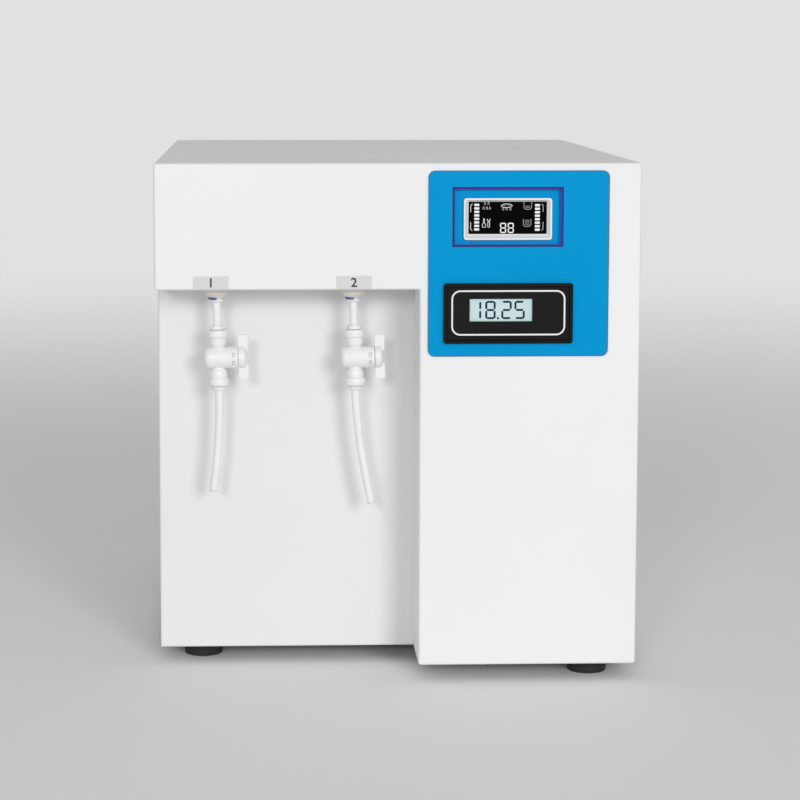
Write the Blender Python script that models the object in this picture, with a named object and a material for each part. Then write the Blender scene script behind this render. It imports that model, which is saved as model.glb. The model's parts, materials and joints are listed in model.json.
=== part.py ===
"""Bench-top ultrapure water system with two dispensing outlets.

Metres, +Z up. X runs to the viewer's right and the front looks along -Y.
The origin lies on the bench, under the middle of the whole machine.
Run with: blender --background --python part.py
"""
import math

import bmesh
import bpy
from mathutils import Matrix, Vector

# Cabinet
cabinet_width = 0.360
cabinet_depth = 0.450
body_height = 0.378
column_width = 0.164
alcove_depth = 0.060
head_height = 0.0938
sheet = 0.0015
bend_radius = 0.0020
return_depth = 0.012
column_lip = 0.010
pan_flange = 0.015

# Fits shared by every piece
seat_gap = 0.0003
cut_overrun = 0.002
weld_distance = 0.000001
moulding_corner = 0.0004
moulding_chamfer = 0.0004

# Roundness of turned pieces, in sides
round_sides = 16
slender_sides = 12
pin_sides = 8
bend_steps = 2
corner_steps = 3
smooth_angle = math.radians(40)
round_profile_share = 0.5

# Rubber feet
foot_height = 0.012
foot_radius = 0.016
foot_base_radius = 0.0145
foot_chamfer = 0.0012
foot_recess_radius = 0.0060
foot_recess_depth = 0.0050
foot_stud_radius = 0.0040
foot_barb_radius = 0.0052
foot_barb_height = 0.0040
foot_inset_side = 0.0325
foot_inset_front = 0.0320
foot_inset_rear = 0.0400

# Blue control panel, measured from the column's top left corner
panel_left = 0.0062
panel_drop = 0.0056
panel_width = 0.1338
panel_height = 0.1378
panel_corner = 0.0050
panel_thickness = 0.0015
panel_chamfer = 0.0004

# Display pocket, measured from the control panel's top left corner
pocket_left = 0.0180
pocket_drop = 0.0124
pocket_width = 0.0815
pocket_height = 0.0436
pocket_wall = 0.0013
pocket_flange = 0.0040
pocket_flange_thickness = 0.0015
pocket_floor_thickness = 0.0020

# White display bezel, measured from the pocket's top left corner
bezel_left = 0.0082
bezel_drop = 0.0081
bezel_width = 0.0656
bezel_height = 0.0311
bezel_corner = 0.0020
bezel_rim = 0.0013
bezel_proud = 0.0024
bezel_flange = 0.0020
bezel_tail = 0.0030
window_width = 0.0580
window_height = 0.0239
window_rise = 0.0008
window_depth = 0.0028
glass_overlap = 0.0008
glass_thickness = 0.0028

# Controller board behind the display
board_width = 0.0800
board_height = 0.0440
board_thickness = 0.0016
board_standoff = 0.0060
standoff_radius = 0.0022
standoff_inset = 0.0040
standoff_root = 0.0010
relay_width = 0.0190
relay_height = 0.0150
relay_depth = 0.0155
terminal_width = 0.0400
terminal_height = 0.0080
terminal_depth = 0.0100
terminal_side_gap = 0.0040

# Conductivity meter, measured from the control panel's top left corner
meter_left = 0.0114
meter_drop = 0.0832
meter_width = 0.0957
meter_height = 0.0447
meter_corner = 0.0020
meter_chamfer = 0.0006
meter_proud = 0.0030
meter_rim = 0.0026
meter_recess = 0.0010
meter_case_width = 0.0900
meter_case_height = 0.0400
meter_case_depth = 0.0550
meter_face_thickness = 0.0012
meter_window_left = 0.0192
meter_window_drop = 0.0115
meter_window_width = 0.0464
meter_window_height = 0.0167
meter_glass_border = 0.0010
meter_glass_thickness = 0.0025

# Dispensing outlets: the left one measured from the cabinet's edge, the right one from the column
left_outlet_inset = 0.0452
right_outlet_inset = 0.0481
outlet_setback = 0.0290
outlet_lean = math.radians(1.43)
tube_radius = 0.003175
tube_bore_radius = 0.00215
flow_radius = 0.0022
socket_clearance = 0.0005
socket_depth = 0.0150

# Bulkhead fitting in the underside of the head
bulkhead_flange_radius = 0.0094
bulkhead_flange_height = 0.0055
bulkhead_boss_radius = 0.0064
bulkhead_boss_height = 0.0020
bulkhead_shank_radius = 0.0075
bulkhead_shank_height = 0.0160
bulkhead_port_height = 0.0120
bulkhead_edge = 0.0008
nut_across_flats = 0.0200
nut_height = 0.0060

# Push-fit collets and the locking clip
collet_flange_radius = 0.0055
collet_flange_height = 0.0016
collet_edge = 0.0004
collet_sleeve_radius = 0.0044
collet_sleeve_length = 0.0066
collet_tooth_radius = 0.0047
collet_tooth_length = 0.0020
clip_height = 0.0014
clip_radius = 0.0061
clip_sweep = math.radians(200)
clip_facing = math.radians(175)
clip_steps = 12

# Ball valve; its middle is where the stem's axis crosses the flow
valve_drop = 0.0537
valve_half_length = 0.0224
valve_nut_radius = 0.0071
valve_nut_height = 0.0070
valve_collar_radius = 0.0061
valve_collar_height = 0.0056
valve_neck_radius = 0.0049
valve_edge = 0.0007
barrel_radius = 0.0082
barrel_left_reach = 0.0092
barrel_right_reach = 0.0148
barrel_end_round = 0.0022
ball_radius = 0.0048
ball_steps = 6
stem_neck_radius = 0.0030
stem_collar_start = 0.0062
stem_groove_radius = 0.0039
stem_groove_start = 0.0086
stem_groove_width = 0.0018
stem_radius = 0.0024
stem_reach = 0.0190

# Butterfly handle of the ball valve
handle_hub_radius = 0.0076
handle_hub_reach = 0.0218
handle_hub_round = 0.0012
wing_start = 0.0156
wing_width = 0.0067
wing_span = 0.0330
wing_thickness = 0.0030
wing_corner = 0.0016

# Free outlet tubes: sideways and down from the middle of each bulkhead's seat, chosen by hand
outlet_tube_bevel_resolution = 3
tube_point_spacing = 0.0140
route_samples = 24
left_tube_route = [
    (0.00140, -0.0635), (0.00160, -0.0710), (0.00177, -0.0781), (0.00192, -0.0875),
    (0.00188, -0.0970), (0.00075, -0.1213), (-0.00110, -0.1395), (-0.00280, -0.1553),
]
right_tube_route = [
    (0.00140, -0.0635), (0.00160, -0.0710), (0.00177, -0.0781), (0.00215, -0.0875),
    (0.00290, -0.0970), (0.00570, -0.1213), (0.01000, -0.1455), (0.01390, -0.1652),
]

# Ports on the rear panel, measured from the cabinet's right edge and the body's bottom
feed_port_inset = 0.050
tank_port_inset = 0.095
drain_port_inset = 0.140
port_height = 0.055
port_nut_radius = 0.0105
port_nut_height = 0.0060
port_shank_length = 0.0200

# Mains inlet with its rocker switch, measured from the left edge and the body's bottom
inlet_inset = 0.085
inlet_height = 0.065
inlet_flange_width = 0.0480
inlet_flange_height = 0.0600
inlet_flange_thickness = 0.0024
inlet_corner = 0.0030
inlet_body_width = 0.0290
inlet_body_height = 0.0500
inlet_body_depth = 0.0290
plug_socket_width = 0.0240
plug_socket_height = 0.0165
plug_socket_depth = 0.0170
plug_socket_corner = 0.0040
plug_socket_drop = 0.0115
pin_width = 0.0020
pin_height = 0.0050
pin_reach = 0.0115
pin_spacing = 0.0070
earth_pin_rise = 0.0020
switch_rise = 0.0125
switch_opening_width = 0.0140
switch_opening_height = 0.0190
switch_opening_depth = 0.0080
rocker_face_reach = 0.0020
rocker_dip = 0.0014
rocker_root_depth = 0.0040
rocker_root_inset = 0.0020
rocker_sweep_clearance = 0.0006
rocker_pin_radius = 0.0010
rocker_pin_length = 0.0010
rocker_tilt = math.radians(8)

# Ventilation slots of the rear panel
slot_columns = 2
slot_rows = 6
slot_width = 0.0900
slot_height = 0.0030
slot_pitch = 0.0110
slot_column_pitch = 0.1300
slot_drop = 0.0600

# Cartridges and the rack that steadies them
cartridge_count = 5
cartridge_side_room = 0.0150
cartridge_gap = 0.0050
cartridge_cap_step = 0.0015
cartridge_height = 0.2350
cartridge_cap_height = 0.0260
cartridge_edge = 0.0030
cartridge_neck_radius = 0.0090
cartridge_neck_height = 0.0120
cartridge_setback = 0.1050
rack_depth = 0.0760
rack_drop = 0.0140
rack_foot = 0.0090
rack_side_gap = 0.0015

# Conductivity cell on the last polishing cartridge
cell_radius = 0.0100
cell_height = 0.0300
cell_collar_radius = 0.0130
cell_collar_height = 0.0080
supply_socket_depth = 0.0120

# Booster pump on the base pan
pump_setback = 0.2450
pump_supply_gap = 0.0155
pump_motor_radius = 0.0300
pump_motor_length = 0.0900
pump_boss_radius = 0.0100
pump_boss_length = 0.0060
pump_edge = 0.0030
pump_head_size = 0.0640
pump_head_length = 0.0380
pump_head_round = 0.0060
pump_foot_width = 0.0700
pump_foot_length = 0.0600
pump_foot_height = 0.0060
pump_saddle_width = 0.0400

# Power supply on the base pan
supply_box_length = 0.1590
supply_box_width = 0.0970
supply_box_height = 0.0380
supply_box_setback = 0.2500
supply_box_inset = 0.0900
supply_step_length = 0.0140
supply_step_height = 0.0220

# Feed solenoid valve behind the feed port
solenoid_body_width = 0.0300
solenoid_body_length = 0.0340
solenoid_body_height = 0.0260
solenoid_coil_radius = 0.0150
solenoid_coil_height = 0.0300
solenoid_leg_width = 0.0160

# Supply tubes inside, from the cartridges to the bulkheads
supply_bevel_resolution = 2
supply_tube_spacing = 0.0190
supply_rise = 0.0380
supply_straight = 0.0180
supply_crossing_shares = (0.25, 0.75)

# Colours, roughness and metallic value of each finish
WHITE_ENAMEL = ((0.86, 0.86, 0.86), 0.38, 0.0)
GALVANISED = ((0.55, 0.56, 0.57), 0.42, 0.9)
BLACK_RUBBER = ((0.020, 0.020, 0.021), 0.80, 0.0)
PANEL_BLUE = ((0.006, 0.300, 0.638), 0.35, 0.0)
POCKET_VIOLET = ((0.090, 0.017, 0.262), 0.40, 0.0)
BEZEL_WHITE = ((0.83, 0.83, 0.83), 0.40, 0.0)
DISPLAY_BLACK = ((0.004, 0.004, 0.005), 0.12, 0.0)
BOARD_GREEN = ((0.010, 0.110, 0.040), 0.45, 0.0)
METER_BLACK = ((0.012, 0.012, 0.012), 0.45, 0.0)
METER_GLASS = ((0.58, 0.75, 0.76), 0.20, 0.0)
FITTING_WHITE = ((0.82, 0.81, 0.82), 0.42, 0.0)
FITTING_IVORY = ((0.68, 0.62, 0.55), 0.45, 0.0)
CLIP_BLUE = ((0.080, 0.127, 0.352), 0.45, 0.0)
TUBE_WHITE = ((0.78, 0.77, 0.78), 0.35, 0.0)
CARTRIDGE_WHITE = ((0.75, 0.77, 0.80), 0.40, 0.0)
PUMP_BLACK = ((0.025, 0.025, 0.028), 0.50, 0.2)
COIL_BLACK = ((0.018, 0.018, 0.020), 0.55, 0.0)
SWITCH_BLACK = ((0.010, 0.010, 0.010), 0.40, 0.0)

# Places worked out from the sizes above
left_x = -cabinet_width / 2
right_x = cabinet_width / 2
alcove_width = cabinet_width - column_width
column_x = left_x + alcove_width
body_bottom = foot_height
body_top = body_bottom + body_height
head_bottom = body_top - head_height
front_reach = panel_thickness + meter_proud + 2 * seat_gap
rear_reach = (bulkhead_flange_height + bulkhead_boss_height + collet_flange_height + seat_gap)
front_y = front_reach - (front_reach + cabinet_depth + rear_reach) / 2
rear_y = front_y + cabinet_depth
alcove_y = front_y + alcove_depth
seam_y = alcove_y + return_depth
pan_floor = body_bottom + sheet + seat_gap
panel_back_y = front_y - seat_gap
panel_front_y = panel_back_y - panel_thickness
outlet_y = front_y + outlet_setback
fascia_inner_y = front_y + sheet
pocket_flange_y = fascia_inner_y + seat_gap
pocket_floor_y = pocket_flange_y + pocket_flange_thickness + seat_gap
pocket_floor_back_y = pocket_floor_y + pocket_floor_thickness
rear_inner_y = rear_y - sheet
supply_box_low_x = right_x - supply_box_inset - supply_box_width / 2
pump_x = supply_box_low_x - pump_supply_gap - pump_motor_length - pump_boss_length
cartridge_pitch = (cabinet_width - 2 * cartridge_side_room) / cartridge_count
cartridge_radius = (cartridge_pitch - cartridge_gap) / 2

AXIS_TURNS = {
    "X": Matrix.Rotation(math.pi / 2, 4, "Y"),
    "Y": Matrix.Rotation(-math.pi / 2, 4, "X"),
    "Z": Matrix.Identity(4),
}


def clear_scene():
    for thing in list(bpy.data.objects):
        bpy.data.objects.remove(thing, do_unlink=True)


def finish(piece, look):
    """Give the piece its own Principled material."""
    colour, roughness, metallic = look
    material = bpy.data.materials.new(piece.name)
    material.use_nodes = True
    shader = material.node_tree.nodes["Principled BSDF"]
    shader.inputs["Base Color"].default_value = (*colour, 1)
    shader.inputs["Roughness"].default_value = roughness
    shader.inputs["Metallic"].default_value = metallic
    material.diffuse_color = (*colour, 1)
    piece.data.materials.append(material)


def make_object(name, shape, look=None, parent=None):
    """Turn a bmesh into a named object; without a look it is a cutter or a hidden half of a union."""
    bmesh.ops.recalc_face_normals(shape, faces=shape.faces)
    if shape.calc_volume(signed=True) < 0:
        bmesh.ops.reverse_faces(shape, faces=shape.faces)
    mesh = bpy.data.meshes.new(name)
    shape.to_mesh(mesh)
    shape.free()
    mesh.shade_smooth()
    mesh.set_sharp_from_angle(angle=smooth_angle)
    piece = bpy.data.objects.new(name, mesh)
    bpy.context.scene.collection.objects.link(piece)
    piece.parent = parent
    if look:
        finish(piece, look)
    else:
        piece.hide_render = True
        piece.display_type = "WIRE"
    return piece


def combine(piece, shape, operation, parent=None):
    """Cut the shape out of the piece, or join it on, with a live Boolean."""
    step = len(piece.modifiers) + 1
    helper = make_object(f"{piece.name}_{operation.lower()}_{step}", shape, parent=parent or piece.parent)
    modifier = piece.modifiers.new(helper.name, "BOOLEAN")
    modifier.operation = operation
    modifier.solver = "EXACT"
    modifier.object = helper


def cut(piece, shape, parent=None):
    combine(piece, shape, "DIFFERENCE", parent)


def join(piece, shape, parent=None):
    combine(piece, shape, "UNION", parent)


def rounded(outline, radii, steps=corner_steps):
    """Outline with each corner turned into an arc; radii is one radius, or one for each corner."""
    points = []
    count = len(outline)
    for index, place in enumerate(outline):
        corner = Vector(place)
        radius = radii[index] if isinstance(radii, (list, tuple)) else radii
        if radius <= 0:
            points.append(corner)
            continue
        towards_last = (Vector(outline[index - 1]) - corner).normalized()
        towards_next = (Vector(outline[(index + 1) % count]) - corner).normalized()
        half_angle = towards_last.angle(towards_next) / 2
        reach = radius / math.tan(half_angle)
        centre = corner + (towards_last + towards_next).normalized() * (radius / math.sin(half_angle))
        first = corner + towards_last * reach - centre
        last = corner + towards_next * reach - centre
        sweep = first.angle(last)
        for step in range(steps + 1):
            share = step / steps
            spoke = first * math.sin((1 - share) * sweep) + last * math.sin(share * sweep)
            points.append(centre + spoke / math.sin(sweep))
    return [tuple(point) for point in points]


def rectangle(width, height, centre=(0, 0)):
    across, up = centre
    return [
        (across - width / 2, up - height / 2), (across + width / 2, up - height / 2),
        (across + width / 2, up + height / 2), (across - width / 2, up + height / 2),
    ]


def inset(outline, distance):
    """Move every side of an anticlockwise outline inwards."""
    moved = []
    count = len(outline)
    for index, place in enumerate(outline):
        corner = Vector(place)
        arriving = (corner - Vector(outline[index - 1])).normalized()
        leaving = (Vector(outline[(index + 1) % count]) - corner).normalized()
        inward_in = Vector((-arriving.y, arriving.x))
        inward_out = Vector((-leaving.y, leaving.x))
        mitre = (inward_in + inward_out) / (1 + inward_in.dot(inward_out))
        moved.append(tuple(corner + mitre * distance))
    return moved


def strip(path, thickness):
    """Outline of a folded strip whose outer side follows the path."""
    inner = []
    for index, place in enumerate(path):
        corner = Vector(place)
        arriving = (corner - Vector(path[index - 1])).normalized() if index else None
        leaving = (Vector(path[index + 1]) - corner).normalized() if index + 1 < len(path) else arriving
        arriving = arriving or leaving
        right_in = Vector((arriving.y, -arriving.x))
        right_out = Vector((leaving.y, -leaving.x))
        mitre = (right_in + right_out) / (1 + right_in.dot(right_out))
        inner.append(tuple(corner + mitre * thickness))
    return list(path) + inner[::-1]


def prism(outline, start, end, axis="Y"):
    """Extrude an outline: (x, z) along Y, (x, y) along Z, or (y, z) along X."""
    place = {
        "X": lambda first, second: (start, first, second),
        "Y": lambda first, second: (first, start, second),
        "Z": lambda first, second: (first, second, start),
    }[axis]
    travel = Vector([end - start if letter == axis else 0 for letter in "XYZ"])
    shape = bmesh.new()
    face = shape.faces.new([shape.verts.new(place(*point)) for point in outline])
    grown = bmesh.ops.extrude_face_region(shape, geom=[face])
    moving = [part for part in grown["geom"] if isinstance(part, bmesh.types.BMVert)]
    bmesh.ops.translate(shape, verts=moving, vec=travel)
    return shape


def block(low, high):
    shape = bmesh.new()
    size = [top - bottom for bottom, top in zip(low, high)]
    middle = [(top + bottom) / 2 for bottom, top in zip(low, high)]
    bmesh.ops.create_cube(shape, size=1, matrix=Matrix.LocRotScale(middle, None, size))
    return shape


def turned(profile, sides, axis="Z", centre=(0, 0, 0)):
    """Spin (radius, height) points; the profile closes on itself unless it starts on the axis."""
    shape = bmesh.new()
    points = [shape.verts.new((radius, 0, height)) for radius, height in profile]
    chain = points if profile[0][0] == 0 else points + points[:1]
    edges = [shape.edges.new(pair) for pair in zip(chain, chain[1:])]
    bmesh.ops.spin(
        shape, geom=points + edges, axis=(0, 0, 1), angle=math.tau, steps=sides, use_merge=True,
    )
    bmesh.ops.remove_doubles(shape, verts=shape.verts, dist=weld_distance)
    shape.transform(Matrix.Translation(centre) @ AXIS_TURNS[axis])
    return shape


def rod(radius, start, end, sides, axis="Z", centre=(0, 0, 0)):
    return turned([(0, start), (radius, start), (radius, end), (0, end)], sides, axis, centre)


def lofted(sections, closed=False):
    """Skin over rounded rectangles of (width, height, corner, y, middle), capped or closed on itself."""
    shape = bmesh.new()
    rings = []
    for width, height, corner, depth, middle in sections:
        outline = rounded(rectangle(width, height, middle), corner)
        rings.append([shape.verts.new((across, depth, up)) for across, up in outline])
    if not closed:
        shape.faces.new(rings[0])
        shape.faces.new(rings[-1])
    for near, far in zip(rings, rings[1:] + rings[:1] if closed else rings[1:]):
        for index, point in enumerate(near):
            shape.faces.new((near[index - 1], point, far[index], far[index - 1]))
    return shape


def soften(shape, radius, is_kept_sharp, steps=bend_steps):
    """Round the edges of a shape, apart from those that the test names."""
    edges = [edge for edge in shape.edges if not is_kept_sharp(edge)]
    bmesh.ops.bevel(
        shape, geom=edges, offset=radius, segments=steps, profile=round_profile_share, affect="EDGES",
    )


def folded_tray(outline, face_y, back_y):
    """Sheet-metal tray: a face with returns of the same thickness folded towards back_y."""
    inward = math.copysign(1, back_y - face_y)
    outer = prism(outline, face_y, back_y)
    soften(outer, bend_radius, lambda edge: all(abs(v.co.y - back_y) < weld_distance for v in edge.verts))
    cavity = prism(inset(outline, sheet), face_y + inward * sheet, back_y + inward * cut_overrun)
    return outer, cavity


def empty(name, place, turn=(0, 0, 0), parent=None):
    marker = bpy.data.objects.new(name, None)
    marker.location = place
    marker.rotation_euler = turn
    marker.parent = parent
    bpy.context.scene.collection.objects.link(marker)
    return marker


def smooth_route(points, spacing):
    """Points at even steps along a Catmull-Rom curve through the route."""
    route = [Vector(point) for point in points]
    ends = [2 * route[0] - route[1]] + route + [2 * route[-1] - route[-2]]
    fine = []
    for before, start, end, after in zip(ends, ends[1:], ends[2:], ends[3:]):
        for sample in range(route_samples):
            t = sample / route_samples
            fine.append((
                2 * start + (end - before) * t + (2 * before - 5 * start + 4 * end - after) * t ** 2
                + (3 * start - 3 * end + after - before) * t ** 3
            ) / 2)
    fine.append(route[-1])
    lengths = [0]
    for near, far in zip(fine, fine[1:]):
        lengths.append(lengths[-1] + (far - near).length)
    count = max(2, round(lengths[-1] / spacing))
    even = []
    index = 0
    for step in range(count):
        target = lengths[-1] * step / count
        while lengths[index + 1] < target:
            index += 1
        share = (target - lengths[index]) / (lengths[index + 1] - lengths[index])
        even.append(fine[index].lerp(fine[index + 1], share))
    return even + [fine[-1]]


def tube_along(name, points, radius, resolution, look):
    """Round tube with closed ends on a POLY spline."""
    curve = bpy.data.curves.new(name, "CURVE")
    curve.dimensions = "3D"
    curve.bevel_depth = radius
    curve.bevel_resolution = resolution
    curve.use_fill_caps = True
    spline = curve.splines.new("POLY")
    spline.points.add(len(points) - 1)
    for target, point in zip(spline.points, points):
        target.co = (*point, 1)
    tube = bpy.data.objects.new(name, curve)
    bpy.context.scene.collection.objects.link(tube)
    finish(tube, look)
    return tube


def pocket_middle():
    across = column_x + panel_left + pocket_left + pocket_width / 2
    up = body_top - panel_drop - pocket_drop - pocket_height / 2
    return across, up


def bezel_middle():
    across = column_x + panel_left + pocket_left + bezel_left + bezel_width / 2
    up = body_top - panel_drop - pocket_drop - bezel_drop - bezel_height / 2
    return across, up


def meter_middle():
    across = column_x + panel_left + meter_left + meter_width / 2
    up = body_top - panel_drop - meter_drop - meter_height / 2
    return across, up


def outlet_places():
    return {"left": left_x + left_outlet_inset, "right": column_x - right_outlet_inset}


def opening(width, height, middle):
    """Rectangular hole that clears what passes through it."""
    return rectangle(width + 2 * seat_gap, height + 2 * seat_gap, middle)


def build_front_fascia():
    """L-shaped front: the head over the alcove and the column beside it, folded back all round."""
    outline = [
        (left_x, head_bottom), (column_x, head_bottom), (column_x, body_bottom),
        (right_x, body_bottom), (right_x, body_top), (left_x, body_top),
    ]
    outer, cavity = folded_tray(outline, front_y, seam_y)
    fascia = make_object("front_fascia", outer, WHITE_ENAMEL)
    cut(fascia, cavity)
    behind_lip = front_y + column_lip
    cut(fascia, block(
        (column_x + sheet, behind_lip, body_bottom - cut_overrun),
        (right_x - sheet, seam_y + cut_overrun, body_bottom + sheet + cut_overrun),
    ))
    through = (front_y - cut_overrun, fascia_inner_y + cut_overrun)
    cut(fascia, prism(opening(pocket_width, pocket_height, pocket_middle()), *through))
    cut(fascia, prism(opening(meter_case_width, meter_case_height, meter_middle()), *through))
    for outlet_x in outlet_places().values():
        cut(fascia, rod(
            bulkhead_shank_radius + seat_gap, -cut_overrun, sheet + cut_overrun, round_sides,
            centre=(outlet_x, outlet_y, head_bottom),
        ))


def build_alcove_panel():
    width = alcove_width - seat_gap
    height = head_bottom - seat_gap - body_bottom
    outline = rectangle(width, height, (left_x + width / 2, body_bottom + height / 2))
    outer, cavity = folded_tray(outline, alcove_y, seam_y)
    panel = make_object("alcove_panel", outer, WHITE_ENAMEL)
    cut(panel, cavity)


def build_wrap_cover():
    """Left side, top and right side folded from one sheet, behind the front."""
    path = [(left_x, body_bottom), (left_x, body_top), (right_x, body_top), (right_x, body_bottom)]
    inner_bend = bend_radius - sheet
    radii = [0, bend_radius, bend_radius, 0, 0, inner_bend, inner_bend, 0]
    outline = rounded(strip(path, sheet), radii, corner_steps)
    make_object("wrap_cover", prism(outline, seam_y + seat_gap, rear_y), WHITE_ENAMEL)


def build_base_pan():
    """Galvanised tray that carries the feet and everything inside."""
    near_left = left_x + sheet + seat_gap
    near_right = right_x - sheet - seat_gap
    step_x = column_x + sheet + seat_gap
    alcove_side_y = seam_y + seat_gap
    column_side_y = front_y + column_lip + seat_gap
    back_y = rear_y - return_depth - seat_gap
    outline = [
        (near_left, alcove_side_y), (step_x, alcove_side_y), (step_x, column_side_y),
        (near_right, column_side_y), (near_right, back_y), (near_left, back_y),
    ]
    pan = make_object("base_pan", prism(outline, body_bottom, body_bottom + pan_flange, "Z"), GALVANISED)
    hollow = (body_bottom + sheet, body_bottom + pan_flange + cut_overrun)
    cut(pan, prism(inset(outline, sheet), *hollow, "Z"))
    for foot_x, foot_y in foot_places().values():
        cut(pan, rod(
            foot_stud_radius + seat_gap, -cut_overrun, sheet + cut_overrun, round_sides,
            centre=(foot_x, foot_y, body_bottom),
        ))


def foot_places():
    rear_foot_y = rear_y - foot_inset_rear
    return {
        "front_left_foot": (left_x + foot_inset_side, alcove_y + foot_inset_front),
        "front_right_foot": (right_x - foot_inset_side, front_y + foot_inset_front),
        "rear_left_foot": (left_x + foot_inset_side, rear_foot_y),
        "rear_right_foot": (right_x - foot_inset_side, rear_foot_y),
    }


def build_feet():
    """Tapered rubber feet whose barbed studs snap through the base pan."""
    shoulder = foot_height - seat_gap
    barb_base = shoulder + sheet + 2 * seat_gap
    profile = [
        (0, foot_recess_depth), (foot_recess_radius, foot_recess_depth), (foot_recess_radius, 0),
        (foot_base_radius, 0), (foot_radius, shoulder - foot_chamfer),
        (foot_radius - foot_chamfer, shoulder), (foot_stud_radius, shoulder),
        (foot_stud_radius, barb_base), (foot_barb_radius, barb_base),
        (foot_stud_radius, barb_base + foot_barb_height), (0, barb_base + foot_barb_height),
    ]
    for name, (foot_x, foot_y) in foot_places().items():
        foot = make_object(name, turned(profile, round_sides), BLACK_RUBBER)
        foot.location = (foot_x, foot_y, 0)


def louvre_slots():
    """Middles of the ventilation slots, in rows below the top of the rear panel."""
    for column in range(slot_columns):
        across = (column - (slot_columns - 1) / 2) * slot_column_pitch
        for row in range(slot_rows):
            yield across, body_top - slot_drop - row * slot_pitch


def port_places():
    return {
        "feed_port": right_x - feed_port_inset,
        "tank_port": right_x - tank_port_inset,
        "drain_port": right_x - drain_port_inset,
    }


def build_rear_panel():
    """Rear tray between the cover's sides, with slots and the holes for its fittings."""
    width = cabinet_width - 2 * (sheet + seat_gap)
    height = body_height - sheet - seat_gap
    outline = rectangle(width, height, (0, body_bottom + height / 2))
    outer, cavity = folded_tray(outline, rear_y, rear_y - return_depth)
    panel = make_object("rear_panel", outer, WHITE_ENAMEL)
    cut(panel, cavity)
    through = (rear_inner_y - cut_overrun, rear_y + cut_overrun)
    for middle in louvre_slots():
        cut(panel, prism(rectangle(slot_width, slot_height, middle), *through))
    for port_x in port_places().values():
        cut(panel, rod(
            bulkhead_shank_radius + seat_gap, *through, slender_sides, "Y",
            (port_x, 0, body_bottom + port_height),
        ))
    cut(panel, prism(opening(inlet_body_width, inlet_body_height, inlet_middle()), *through))


def build_control_panel():
    middle = (
        column_x + panel_left + panel_width / 2,
        body_top - panel_drop - panel_height / 2,
    )
    slim = 2 * panel_chamfer
    sections = [
        (panel_width, panel_height, panel_corner, panel_back_y, middle),
        (panel_width, panel_height, panel_corner, panel_front_y + panel_chamfer, middle),
        (panel_width - slim, panel_height - slim, panel_corner - panel_chamfer, panel_front_y, middle),
    ]
    plate = make_object("control_panel_plate", lofted(sections), PANEL_BLUE)
    through = (panel_front_y - cut_overrun, panel_back_y + cut_overrun)
    cut(plate, prism(opening(pocket_width, pocket_height, pocket_middle()), *through))
    cut(plate, prism(opening(meter_case_width, meter_case_height, meter_middle()), *through))


def build_display_pocket():
    """Violet frame through the panel and the fascia, and the blue floor clipped behind it."""
    middle = pocket_middle()
    flange_back_y = pocket_flange_y + pocket_flange_thickness
    hooked = 2 * pocket_flange
    slim = 2 * pocket_wall
    sections = [
        (pocket_width, pocket_height, 0, panel_front_y, middle),
        (pocket_width, pocket_height, 0, pocket_flange_y, middle),
        (pocket_width + hooked, pocket_height + hooked, 0, pocket_flange_y, middle),
        (pocket_width + hooked, pocket_height + hooked, 0, flange_back_y, middle),
        (pocket_width - slim, pocket_height - slim, 0, flange_back_y, middle),
        (pocket_width - slim, pocket_height - slim, 0, panel_front_y, middle),
    ]
    make_object("display_pocket_frame", lofted(sections, closed=True), POCKET_VIOLET)
    outline = rectangle(pocket_width + hooked, pocket_height + hooked, middle)
    floor = make_object(
        "display_pocket_floor", prism(outline, pocket_floor_y, pocket_floor_back_y), PANEL_BLUE,
    )
    cut(floor, prism(
        opening(bezel_width - 2 * bezel_flange, bezel_height - 2 * bezel_flange, bezel_middle()),
        pocket_floor_y - cut_overrun, pocket_floor_back_y + cut_overrun,
    ))
    root_y = pocket_floor_back_y - standoff_root
    tip_y = board_front_y() - seat_gap
    for board_x, board_z in board_fixings():
        join(floor, rod(standoff_radius, root_y, tip_y, pin_sides, "Y", (board_x, 0, board_z)))


def board_front_y():
    return pocket_floor_back_y + bezel_tail + board_standoff


def board_fixings():
    across, up = pocket_middle()
    half_width = board_width / 2 - standoff_inset
    half_height = board_height / 2 - standoff_inset
    return [
        (across + side * half_width, up + level * half_height)
        for side in (-1, 1) for level in (-1, 1)
    ]


def build_display_bezel():
    """White snap-in bezel whose inner walls slope down to the display."""
    middle = bezel_middle()
    window = (middle[0], middle[1] + window_rise)
    front_y_here = pocket_floor_y - bezel_proud
    seat_y = front_y_here + window_depth
    tail_y = pocket_floor_back_y + bezel_tail
    body_width = bezel_width - 2 * bezel_flange
    body_height_here = bezel_height - 2 * bezel_flange
    glass = (window_width + 2 * glass_overlap, window_height + 2 * glass_overlap)
    slim = 2 * moulding_chamfer
    rim = 2 * bezel_rim
    flange_y = pocket_floor_y - seat_gap
    sections = [
        (bezel_width - slim, bezel_height - slim, bezel_corner, front_y_here, middle),
        (bezel_width, bezel_height, bezel_corner, front_y_here + moulding_chamfer, middle),
        (bezel_width, bezel_height, bezel_corner, flange_y, middle),
        (body_width, body_height_here, moulding_corner, flange_y, middle),
        (body_width, body_height_here, moulding_corner, tail_y, middle),
        (glass[0] + 2 * seat_gap, glass[1] + 2 * seat_gap, moulding_corner, tail_y, window),
        (glass[0] + 2 * seat_gap, glass[1] + 2 * seat_gap, moulding_corner, seat_y, window),
        (window_width, window_height, moulding_corner, seat_y, window),
        (bezel_width - rim, bezel_height - rim, bezel_corner - moulding_chamfer, front_y_here, middle),
    ]
    make_object("display_bezel", lofted(sections, closed=True), BEZEL_WHITE)
    front = seat_y + seat_gap
    outline = rectangle(*glass, window)
    make_object("display_glass", prism(outline, front, front + glass_thickness), DISPLAY_BLACK)


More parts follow.
